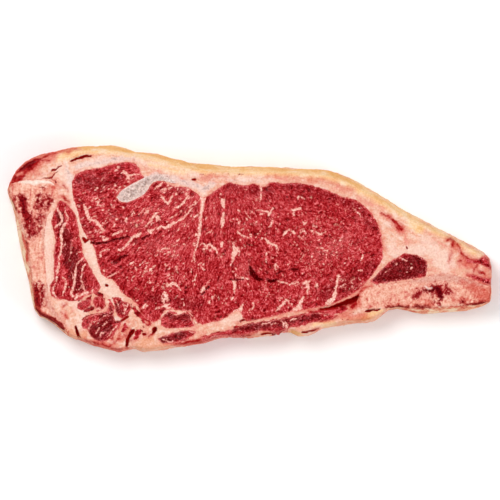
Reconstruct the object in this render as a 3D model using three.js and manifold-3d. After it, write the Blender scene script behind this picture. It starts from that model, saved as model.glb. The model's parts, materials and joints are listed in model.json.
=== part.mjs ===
// A bone-in beef loin chop, one slice across the loin, lying on its cut face.
// It is a slab of fat that carries the muscles and bones as pieces running through it: the big eye muscle,
// the long muscle beside the feather bone, the sawn feather bone and rib, a tongue of gristle and the small
// muscles under the eye. The upper cut face has gentle relief, and the walls lean out below it.
// Millimetres, +Z up. The origin is under the middle of the chop, on the face it rests on.
import * as THREE from "three";
import { mergeVertices } from "three/addons/utils/BufferGeometryUtils.js";
import Module from "manifold-3d";

// Driving sizes of the whole chop: its length, and the mean height of its cut face.
const CHOP_LENGTH = 265;
const THICKNESS = 25;

// The outlines are drawn on a tracing grid laid over the cut face, seen from above: x to the right, y down.
// The chop spans this many steps from the edge of its feather bone to its sawn rib end.
const LENGTH_IN_STEPS = 486;
const STEP = CHOP_LENGTH / LENGTH_IN_STEPS;

// Pieces that touch are parted by this gap, and a smooth outline is cut into chords of about this length.
const SEAM_GAP = 0.3;
const EDGE_CHORD = 4.8;
const MUSCLE_CHORD = 3.4;
const FEWEST_CHORDS = 8;

// The cut face sags in slow waves. Each row says how far apart the crests are along x and along y.
const FACE_WAVES = [
  [132, 90],
  [-110, 75],
  [60, -76],
];
const FACE_WAVE = 0.3;

// The facets of the cut face are squares of about this size, smaller on a small piece.
const FACE_CELL = 4.4;
const SMALLEST_CELL = 1.8;
const CELLS_ACROSS = 5;
const FACE_MARGIN = 2;

// Tools that cut the slab run past it by this much above and below.
const CLEAR = 8;

// The slab's wall. Each row is a height as a share of the thickness, an inset in millimetres that every
// stretch of wall has, and the share of the local lean that it adds. The last row is above the cut face.
const WALL_RINGS = [
  [0, 1.1, 0],
  [0.05, 0.3, 0],
  [0.2, 0, 0],
  [0.5, 0.05, 0.25],
  [0.8, 0.3, 0.72],
  [0.93, 0.9, 0.95],
  [1.3, 2.2, 1.1],
];

// The outer edge as seen from above: x, y, and how far the wall leans out below the cut face, in millimetres.
const SLAB_EDGE = [
  [6.5, 190, 0.9], [9.5, 181, 0.7], [16, 170, 0.6], [25, 161.5, 0.6], [36, 156, 0.6], [52, 151.3, 0.9],
  [70, 147.4, 1.3], [90, 145.8, 1.9], [117, 145.4, 2.0], [128, 149.2, 1.8], [139, 152.3, 1.8],
  [154, 152.8, 2.0], [172, 158, 2.0], [190, 162, 2.3], [215, 164.5, 2.6], [230, 166.4, 2.5],
  [265, 166, 2.2], [295, 167.8, 2.0], [328, 170.2, 2.0], [342, 174, 2.0], [360, 182.8, 2.0],
  [385, 197.5, 1.9], [405, 210.5, 1.7], [432, 224.8, 1.4], [460, 239, 1.2], [480, 250, 1.0],
  [488.5, 256, 0.6], [491.5, 263, 0.2], [492.5, 272, 0.3], [491.4, 282, 0.1], [490.8, 301.5, 0.1],
  [482, 306.5, 1.0], [468, 310.5, 2.4], [445, 312.3, 2.6], [420, 313.8, 2.6], [405, 310.2, 1.3],
  [392, 308.8, 0.7], [384.5, 313.5, 1.0], [374, 321.2, 1.2], [356, 323, 1.0], [336, 326, 1.0],
  [321, 329, 1.2], [312, 334.6, 1.6], [298, 336.6, 1.8], [289, 331.8, 1.0], [272, 335.5, 1.0],
  [248, 338, 1.0], [222, 337.6, 0.6], [200, 343.8, 0.6], [178, 347, 0.6], [158, 350.5, 0.8],
  [145, 351.8, 0.8], [133, 348.8, 0.6], [120, 352, 0.8], [100, 347.4, 0.6], [82, 341, 0.6],
  [72, 338.4, 0.6], [65, 334.2, 0.5], [55, 325.2, 0.4], [46, 319.4, 0.4], [36.6, 314.6, 0.4],
  [32.4, 304, 0.5], [28, 281, 1.6], [22, 258, 3.2], [17, 233, 3.0], [13, 210, 0.9],
];

// Bones and gristle. An outline that runs out past the edge is cut off by it.
const FEATHER_BONE = [
  [-4, 189], [12, 183.5], [22, 180.5], [36, 179.5], [49, 180.5], [56, 185.5], [58, 191], [55, 199],
  [50.5, 209], [46.5, 219], [44, 232], [44, 248], [45.5, 268], [47, 288], [50.5, 303], [58, 315.5],
  [66, 324.5], [69, 332], [64, 350], [16, 336], [-4, 262],
];
const RIB_BONE = [
  [357, 302.5], [358.5, 296.5], [363.5, 290.5], [371, 286.8], [384, 284.8], [398, 282.8], [412, 280.8],
  [424, 277.8], [434, 274.6], [445, 273.6], [457, 276], [470, 279.6], [483, 284.6], [500, 292],
  [500, 330], [400, 330], [392, 309.2], [378, 308.8], [366, 309.5], [359.5, 307.2],
];
const GRISTLE = [
  [116.5, 197], [120, 192], [126, 187.5], [133, 183.5], [140, 180], [147, 176.3], [155, 174.5],
  [163, 174.8], [170, 178], [176, 182], [171, 182.6], [164, 180.2], [157, 180.2], [151.5, 183],
  [148, 188.5], [144, 193.5], [139.5, 196.3], [133, 199.6], [126, 202], [120, 201],
];

// Muscles.
const EYE_MUSCLE = [
  [73, 180], [76, 174], [85, 170.5], [100, 167.5], [115, 163.6], [126, 162], [133, 162.5], [138, 167],
  [141, 174], [146, 179], [153, 181], [160, 180.8], [167, 183], [175, 187], [184, 186.6], [192, 189.5],
  [199, 195.8], [204, 198], [212, 193], [220, 187.8], [229, 182.6], [237, 184.2], [245, 185.4],
  [252, 184.5], [257, 182.6], [260, 186.6], [264.5, 186.6], [268, 183.4], [273, 181.5], [284, 183.4],
  [300, 183.4], [314, 186], [330, 191.4], [346, 197.8], [356, 200.2], [366, 207.5], [375, 219],
  [380, 232], [382.4, 246], [381.2, 260], [376, 269], [369, 278], [361, 287.4], [350, 294.6],
  [338, 301], [322, 306], [305, 309], [288, 311.6], [270, 316.4], [255, 319.4], [245, 319.8],
  [242, 313], [238.5, 309], [232, 312], [225, 318], [212, 321.8], [199.5, 323.6], [194.5, 318],
  [189, 310.8], [180, 309.8], [171, 308.6], [165, 309.6], [160.5, 316], [156, 322.5], [150, 321],
  [144, 316], [139, 309], [136, 301.5], [130, 298], [122, 291.6], [117, 285], [114.5, 279.2],
  [106, 277.6], [101, 273], [98.5, 264], [96, 254], [93, 244], [88, 237.6], [84, 230], [80, 221],
  [78, 211], [75.5, 204], [73.5, 196], [72.5, 188],
];
const CHINE_MUSCLE = [
  [59.5, 200.6], [66, 203], [72, 209], [76, 217], [78, 226], [79, 235], [81.6, 243], [82, 252],
  [85, 259], [89, 266], [94, 275], [99, 283], [101.4, 289], [97, 291.6], [90.5, 293], [86, 295],
  [83, 298], [77, 300.6], [71.5, 300.4], [64, 299], [57, 298.6], [52, 296], [50, 290], [50, 284.6],
  [54, 281.6], [54, 268], [54.5, 250], [56, 240], [54, 231], [51.6, 225], [52, 218], [54.5, 212.6],
  [57, 206.5],
];
const CORNER_MUSCLE = [
  [81.5, 322], [85, 317.6], [93, 315], [101, 312.6], [106.6, 312.6], [108.4, 306], [110.4, 301.6],
  [112.6, 307], [113, 314], [113.6, 320.6], [120.6, 321], [121, 324], [117, 329], [112.6, 336],
  [107, 340], [99, 341], [93, 338], [89.5, 333], [88, 329.4], [84.4, 329.6], [82, 326],
];
const SPUR_MUSCLE = [
  [112.4, 297], [115.6, 295.8], [120, 298], [124.4, 302], [130, 303.6], [131, 306.6], [127.4, 314],
  [123.4, 319], [119.6, 318], [116.6, 312.6], [114.6, 305],
];
const NOTCH_MUSCLE = [
  [77, 303.4], [84, 301], [89.6, 298.4], [91, 302], [88, 307], [83, 310], [78.6, 309.4],
];
const FORK_MUSCLE = [
  [94.6, 297], [100, 296.4], [104.4, 299.6], [104.8, 305], [101.6, 309.4], [97, 310.8], [94.4, 307],
  [93, 302],
];
const UNDER_MUSCLE = [
  [161, 325.4], [160.6, 320], [164.4, 314.6], [168, 311.6], [172, 312.8], [177, 316.6], [181, 313.2],
  [187, 312.8], [191, 315.6], [192.4, 321], [195.4, 325.8], [188, 326.6], [178, 327.4], [168, 327.8],
];
const BELLY_STRIP = [
  [158, 338.5], [164, 335.5], [173, 333], [183, 331], [193, 330.5], [196.4, 333.5], [191, 336.6],
  [185, 339.6], [178, 342], [168, 343], [160, 342],
];
const RIB_STRIP = [
  [201, 338.6], [207, 336], [216, 333.4], [226, 331], [238, 327.4], [249, 323.6], [262, 321.6],
  [278, 319.4], [292, 316.4], [304, 314], [318, 312.8], [329, 313.4], [335.6, 316.4], [331, 319.4],
  [320, 320.4], [310, 322.6], [302, 325.4], [292, 326.4], [285, 329.6], [275, 331.4], [262, 330.4],
  [251, 332], [241, 335.4], [228, 341], [212, 342.6], [204, 341.2],
];
const RIB_MUSCLE = [
  [370.6, 281], [375, 276.6], [381, 270], [388, 263.4], [394, 259], [399, 257], [402, 254.2],
  [406, 253], [412, 254.4], [420, 256.8], [426, 260.4], [427.6, 264], [426, 268.6], [424.4, 271.6],
  [428.4, 273.2], [426, 275.6], [416, 278], [404, 279.6], [394, 281], [384, 282.6], [377, 283.4],
  [372, 282.8],
];
const TIP_STRIP_UPPER = [
  [464.6, 258.4], [471, 260.4], [478, 259.2], [484, 256.6], [489, 257.2], [502, 261], [502, 271],
  [490, 269.4], [485.6, 265.8], [479, 263.6], [470, 263],
];
const TIP_STRIP_LOWER = [
  [467.6, 273.4], [476, 275.8], [484, 278.2], [502, 278.8], [502, 286], [489, 284], [480, 281],
  [472, 277.6],
];

// Every piece that the fat carries, in cutting order: a later one gives way where two outlines cross.
// rise lifts or sinks its rim against the cut face, and crown is how much its middle swells above the rim.
const PIECES = [
  { name: "feather_bone", outline: FEATHER_BONE, rise: 0.35, crown: 0.1, look: "bone" },
  { name: "rib_bone", outline: RIB_BONE, rise: 0.45, crown: 0.15, look: "bone" },
  { name: "gristle", outline: GRISTLE, rise: 0.2, crown: 0.2, look: "gristle" },
  { name: "rib_muscle", outline: RIB_MUSCLE, rise: -0.35, crown: 0.5, look: "lean" },
  { name: "chine_muscle", outline: CHINE_MUSCLE, rise: -0.4, crown: 0.8, look: "lean" },
  { name: "corner_muscle", outline: CORNER_MUSCLE, rise: -0.4, crown: 0.6, look: "lean" },
  { name: "spur_muscle", outline: SPUR_MUSCLE, rise: -0.35, crown: 0.4, look: "lean" },
  { name: "notch_muscle", outline: NOTCH_MUSCLE, rise: -0.3, crown: 0.4, look: "lean" },
  { name: "fork_muscle", outline: FORK_MUSCLE, rise: -0.3, crown: 0.4, look: "lean" },
  { name: "under_muscle", outline: UNDER_MUSCLE, rise: -0.35, crown: 0.5, look: "lean" },
  { name: "belly_strip", outline: BELLY_STRIP, rise: -0.35, crown: 0.4, look: "lean" },
  { name: "rib_strip", outline: RIB_STRIP, rise: -0.4, crown: 0.4, look: "lean" },
  { name: "tip_strip_upper", outline: TIP_STRIP_UPPER, rise: -0.4, crown: 0.2, look: "lean" },
  { name: "tip_strip_lower", outline: TIP_STRIP_LOWER, rise: -0.4, crown: 0.2, look: "lean" },
  { name: "eye_muscle", outline: EYE_MUSCLE, rise: -0.45, crown: 1.3, look: "lean" },
];
const CROWN_REACH = 9;

// Splits and pits in the cut face: the line that each follows, and its greatest width and depth in millimetres.
const CLEFTS = [
  { line: [[70, 161], [78, 157.6], [85, 156.2], [92, 156.2]], width: 1.1, depth: 3.5 },
  { line: [[249.5, 262], [251.5, 272], [258, 278], [266, 280], [277, 281.5]], width: 2.4, depth: 3 },
  { line: [[316, 309.4], [332, 307.2], [346, 302.4], [361, 295.6]], width: 3.2, depth: 5 },
  { line: [[76, 326], [78, 333], [81, 346]], width: 1.6, depth: 9 },
  { line: [[134, 329], [130, 336], [126.5, 348]], width: 2.4, depth: 4 },
  { line: [[411, 299], [419, 292], [430, 289.6], [438, 292], [443, 301]], width: 2.4, depth: 1.6 },
];
const CLEFT_STEPS = 10;

// Colour, roughness and metalness of each kind of tissue.
const LOOKS = {
  lean: { color: 0xa5262c, roughness: 0.42, metalness: 0 },
  fat: { color: 0xf4cfae, roughness: 0.5, metalness: 0 },
  bone: { color: 0xe9ab92, roughness: 0.6, metalness: 0 },
  gristle: { color: 0xd8c6bd, roughness: 0.4, metalness: 0 },
};

const MERGE_DISTANCE = 1e-4;

const wasm = await Module();
wasm.setup();
const { Manifold, Mesh: SolidMesh } = wasm;

// A smooth closed curve through grid points, as millimetre points [x, y, extra] about one chord apart.
function smoothOutline(points, chord) {
  const knots = points.map(([x, y, extra = 0]) => new THREE.Vector3(x * STEP, -y * STEP, extra));
  const curve = new THREE.CatmullRomCurve3(knots, true, "centripetal");
  const count = Math.max(FEWEST_CHORDS, Math.round(curve.getLength() / chord));
  return curve.getSpacedPoints(count).slice(0, count).map((p) => [p.x, p.y, p.z]);
}

// Twice the signed area: positive where the points run counter-clockwise.
function doubleArea(points) {
  return points.reduce((sum, [x, y], i) => {
    const [nextX, nextY] = points[(i + 1) % points.length];
    return sum + x * nextY - nextX * y;
  }, 0);
}

function counterClockwise(points) {
  return doubleArea(points) < 0 ? [...points].reverse() : points;
}

// The unit normal that points out of a counter-clockwise outline at one of its points.
function outwardNormal(points, i) {
  const [ax, ay] = points[(i + points.length - 1) % points.length];
  const [bx, by] = points[(i + 1) % points.length];
  const length = Math.hypot(bx - ax, by - ay);
  return [(by - ay) / length, (ax - bx) / length];
}

// The outline moved out along its normals; a negative distance moves it in.
function offsetOutline(points, distance) {
  return points.map(([x, y, extra], i) => {
    const [nx, ny] = outwardNormal(points, i);
    return [x + nx * distance, y + ny * distance, extra];
  });
}

// How far a point lies inside an outline, and 0 outside it.
function insideDepth(points, x, y) {
  let nearest = Infinity;
  let inside = false;
  points.forEach(([ax, ay], i) => {
    const [bx, by] = points[(i + 1) % points.length];
    const along = ((x - ax) * (bx - ax) + (y - ay) * (by - ay)) / ((bx - ax) ** 2 + (by - ay) ** 2);
    const t = Math.min(1, Math.max(0, along));
    nearest = Math.min(nearest, Math.hypot(x - ax - t * (bx - ax), y - ay - t * (by - ay)));
    if (ay > y !== by > y && x < ((bx - ax) * (y - ay)) / (by - ay) + ax) inside = !inside;
  });
  return inside ? nearest : 0;
}

// A three.js geometry as a solid.
function solidOf(geometry) {
  const bare = geometry.index ? geometry.toNonIndexed() : geometry;
  const points = new THREE.BufferGeometry().setAttribute("position", bare.getAttribute("position"));
  const merged = mergeVertices(points, MERGE_DISTANCE);
  return new Manifold(new SolidMesh({
    numProp: 3,
    vertProperties: merged.attributes.position.array,
    triVerts: new Uint32Array(merged.index.array),
  }));
}

// A solid as a three.js geometry, with a flat normal on each face.
function geometryOf(solid) {
  const mesh = solid.getMesh();
  const indexed = new THREE.BufferGeometry();
  indexed.setAttribute("position", new THREE.BufferAttribute(mesh.vertProperties, 3));
  indexed.setIndex(new THREE.BufferAttribute(mesh.triVerts, 1));
  const flat = indexed.toNonIndexed();
  flat.computeVertexNormals();
  return flat;
}

// An upright prism on an outline, from one height to another.
function prism(points, bottom, top) {
  const shape = new THREE.Shape(points.map(([x, y]) => new THREE.Vector2(x, y)));
  const geometry = new THREE.ExtrudeGeometry(shape, { depth: top - bottom, bevelEnabled: false });
  return solidOf(geometry.translate(0, 0, bottom));
}

// The whole slab before its upper face is cut: rings of the edge stacked from the resting face up, each
// inset by its row of WALL_RINGS.
function slab(edge) {
  const vertices = WALL_RINGS.flatMap(([share, inset, leanShare]) => edge.map(([x, y, lean], i) => {
    const [nx, ny] = outwardNormal(edge, i);
    const distance = inset + leanShare * lean;
    return [x - nx * distance, y - ny * distance, share * THICKNESS];
  }));
  const n = edge.length;
  const faces = [];
  for (let ring = 0; ring + 1 < WALL_RINGS.length; ring++) {
    for (let i = 0; i < n; i++) {
      const [a, b] = [ring * n + i, ring * n + ((i + 1) % n)];
      faces.push([a, b, b + n], [a, b + n, a + n]);
    }
  }
  const last = (WALL_RINGS.length - 1) * n;
  const lid = (start) => vertices.slice(start, start + n).map(([x, y]) => new THREE.Vector2(x, y));
  THREE.ShapeUtils.triangulateShape(lid(0), []).forEach(([a, b, c]) => faces.push([a, c, b]));
  THREE.ShapeUtils.triangulateShape(lid(last), []).forEach((face) => faces.push(face.map((i) => i + last)));
  return new Manifold(new SolidMesh({
    numProp: 3,
    vertProperties: new Float32Array(vertices.flat()),
    triVerts: new Uint32Array(faces.flat()),
  }));
}

// The height of the cut face: its mean height and the sum of its slow waves.
function faceHeight(x, y) {
  const swings = FACE_WAVES.map(([alongX, alongY]) => Math.sin(2 * Math.PI * (x / alongX + y / alongY)));
  return THICKNESS + FACE_WAVE * swings.reduce((sum, swing) => sum + swing);
}

// A block under the cut face of one piece: a box whose top follows the waves, the rise and the crown.
function faceBlock(outline, rise, crown) {
  const xs = outline.map(([x]) => x);
  const ys = outline.map(([, y]) => y);
  const [west, east] = [Math.min(...xs) - FACE_MARGIN, Math.max(...xs) + FACE_MARGIN];
  const [south, north] = [Math.min(...ys) - FACE_MARGIN, Math.max(...ys) + FACE_MARGIN];
  const narrow = Math.min(east - west, north - south);
  const cell = Math.min(FACE_CELL, Math.max(SMALLEST_CELL, narrow / CELLS_ACROSS));
  const columns = Math.ceil((east - west) / cell);
  const rows = Math.ceil((north - south) / cell);
  const block = new THREE.BoxGeometry(east - west, north - south, THICKNESS + CLEAR, columns, rows, 1);
  block.translate((east + west) / 2, (north + south) / 2, (THICKNESS - CLEAR) / 2);
  const position = block.getAttribute("position");
  for (let i = 0; i < position.count; i++) {
    if (position.getZ(i) < 0) continue;
    const [x, y] = [position.getX(i), position.getY(i)];
    const swell = crown ? crown * (1 - Math.exp(-insideDepth(outline, x, y) / CROWN_REACH)) : 0;
    position.setZ(i, faceHeight(x, y) + rise + swell);
  }
  return solidOf(block);
}

// A cleft as an upright blade that is widest in its middle and runs out at both ends.
function cleftBlade({ line, width, depth }) {
  const knots = line.map(([x, y]) => new THREE.Vector3(x * STEP, -y * STEP, 0));
  const points = new THREE.CatmullRomCurve3(knots).getSpacedPoints(CLEFT_STEPS);
  const side = (sign) => points.map((p, i) => {
    const [before, after] = [points[Math.max(0, i - 1)], points[Math.min(CLEFT_STEPS, i + 1)]];
    const length = Math.hypot(after.x - before.x, after.y - before.y);
    const reach = sign * (width / 2) * Math.sin((Math.PI * i) / CLEFT_STEPS);
    return [p.x - ((after.y - before.y) / length) * reach, p.y + ((after.x - before.x) / length) * reach];
  });
  const outline = [...side(-1), ...side(1).slice(1, -1).reverse()];
  return prism(counterClockwise(outline), THICKNESS - depth, THICKNESS + CLEAR);
}

// The middle of an outline's box, which the finished chop is centred on.
function centreOf(edge) {
  const middle = (values) => (Math.min(...values) + Math.max(...values)) / 2;
  return [middle(edge.map(([x]) => x)), middle(edge.map(([, y]) => y))];
}

// The largest body of a solid: thin scraps that a cut leaves beside it are dropped.
function mainBody(solid) {
  return solid.decompose().reduce((best, body) => (body.volume() > best.volume() ? body : best));
}

const edge = counterClockwise(smoothOutline(SLAB_EDGE, EDGE_CHORD));
const [centreX, centreY] = centreOf(edge);
const whole = slab(edge);
const clefts = Manifold.union(CLEFTS.map(cleftBlade));

const chop = new THREE.Group();

function addPiece(name, solid, look) {
  const centred = mainBody(solid.subtract(clefts)).translate([-centreX, -centreY, 0]);
  const mesh = new THREE.Mesh(geometryOf(centred), new THREE.MeshStandardMaterial(LOOKS[look]));
  mesh.name = name;
  chop.add(mesh);
}

let claimed = null;
for (const { name, outline, rise, crown, look } of PIECES) {
  const own = counterClockwise(smoothOutline(outline, MUSCLE_CHORD));
  const column = prism(own, -CLEAR, THICKNESS + CLEAR);
  const free = claimed ? column.subtract(claimed) : column;
  addPiece(name, whole.intersect(free).intersect(faceBlock(own, rise, crown)), look);
  const grown = prism(offsetOutline(own, SEAM_GAP), -CLEAR, THICKNESS + CLEAR);
  claimed = claimed ? claimed.add(grown) : grown;
}
addPiece("fat", whole.intersect(faceBlock(edge, 0, 0)).subtract(claimed), "fat");

export default chop;
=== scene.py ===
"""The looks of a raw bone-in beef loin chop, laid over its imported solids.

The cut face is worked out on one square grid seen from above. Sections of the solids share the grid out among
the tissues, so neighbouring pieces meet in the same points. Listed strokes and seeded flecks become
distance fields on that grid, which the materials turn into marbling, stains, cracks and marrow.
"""
import functools
import json
import math
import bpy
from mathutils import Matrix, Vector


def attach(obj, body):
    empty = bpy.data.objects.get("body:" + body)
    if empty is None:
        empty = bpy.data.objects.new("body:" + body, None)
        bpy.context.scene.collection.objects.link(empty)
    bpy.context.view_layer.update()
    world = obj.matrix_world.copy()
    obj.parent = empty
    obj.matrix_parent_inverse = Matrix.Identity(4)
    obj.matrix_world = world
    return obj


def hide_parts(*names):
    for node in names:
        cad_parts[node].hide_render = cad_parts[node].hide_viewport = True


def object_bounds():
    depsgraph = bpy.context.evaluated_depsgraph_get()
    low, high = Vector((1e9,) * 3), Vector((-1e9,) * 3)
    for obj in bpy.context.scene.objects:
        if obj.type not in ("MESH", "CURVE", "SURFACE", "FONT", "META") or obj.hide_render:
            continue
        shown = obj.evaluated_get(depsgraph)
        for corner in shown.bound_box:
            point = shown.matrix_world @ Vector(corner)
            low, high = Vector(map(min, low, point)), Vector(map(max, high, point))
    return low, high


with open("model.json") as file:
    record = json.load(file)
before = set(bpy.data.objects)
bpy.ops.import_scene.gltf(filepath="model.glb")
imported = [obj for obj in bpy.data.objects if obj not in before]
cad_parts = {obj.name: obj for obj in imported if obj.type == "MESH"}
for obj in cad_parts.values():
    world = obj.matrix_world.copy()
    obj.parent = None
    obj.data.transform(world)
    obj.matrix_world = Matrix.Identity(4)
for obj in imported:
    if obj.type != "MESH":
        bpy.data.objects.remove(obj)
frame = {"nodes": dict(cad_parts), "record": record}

import types

import bpy
import numpy as np
from bpy.props import FloatProperty, FloatVectorProperty, IntProperty, PointerProperty

bl_info = {
    "name": "Beef loin chop",
    "version": (1, 0, 0),
    "blender": (4, 5, 0),
    "location": "View3D > Sidebar > Chop",
    "description": "Dresses the solids of a raw bone-in beef loin chop",
    "category": "Object",
}

# Shapes are worked out in millimetres and put into the meshes in metres.
MM = 0.001
# Held under divisors or added to them, so that none is 0.
TINY = 1e-9
SMALL = 1e-6

CAD_BOX = [list(corner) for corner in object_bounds()]
CAD_LOW, CAD_HIGH = (np.array(corner) / MM for corner in CAD_BOX)
SLOTS = {row["node"]: row["material_slot"] for row in frame["record"]["subparts"]}
GROUND = "fat"
NAMES = sorted(name for name in SLOTS if name != GROUND) + [GROUND]
OUTSIDE = len(NAMES)

# The chop was traced on a grid of steps seen from above, x to the right and y down: its length in steps, the
# middle of its box, and the middle and the side of the square view.
TRACE_LENGTH = 486
TRACE_MIDDLE = (249.5, 248.7)
VIEW_MIDDLE = (250, 250)
VIEW_STEPS = 500
STEP = (CAD_HIGH[0] - CAD_LOW[0]) / TRACE_LENGTH

# Heights in millimetres of the sections that give the outer wall its shape. The last is the highest that
# every wall reaches.
WALL_LEVELS = (0.02, 1.25, 5.0, 12.5, 20.0, 23.2)
FACE_LEVEL = WALL_LEVELS[-1]
# In millimetres: the gap between two solids, how far the grid reaches past the chop, and how far from a
# border its distance is still worked out.
SEAM_GAP = 0.3
GRID_MARGIN = 4.0
WALL_REACH = 14.0

# Strokes are lists of points: x, y and half width, all in steps of the tracing grid.

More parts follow.
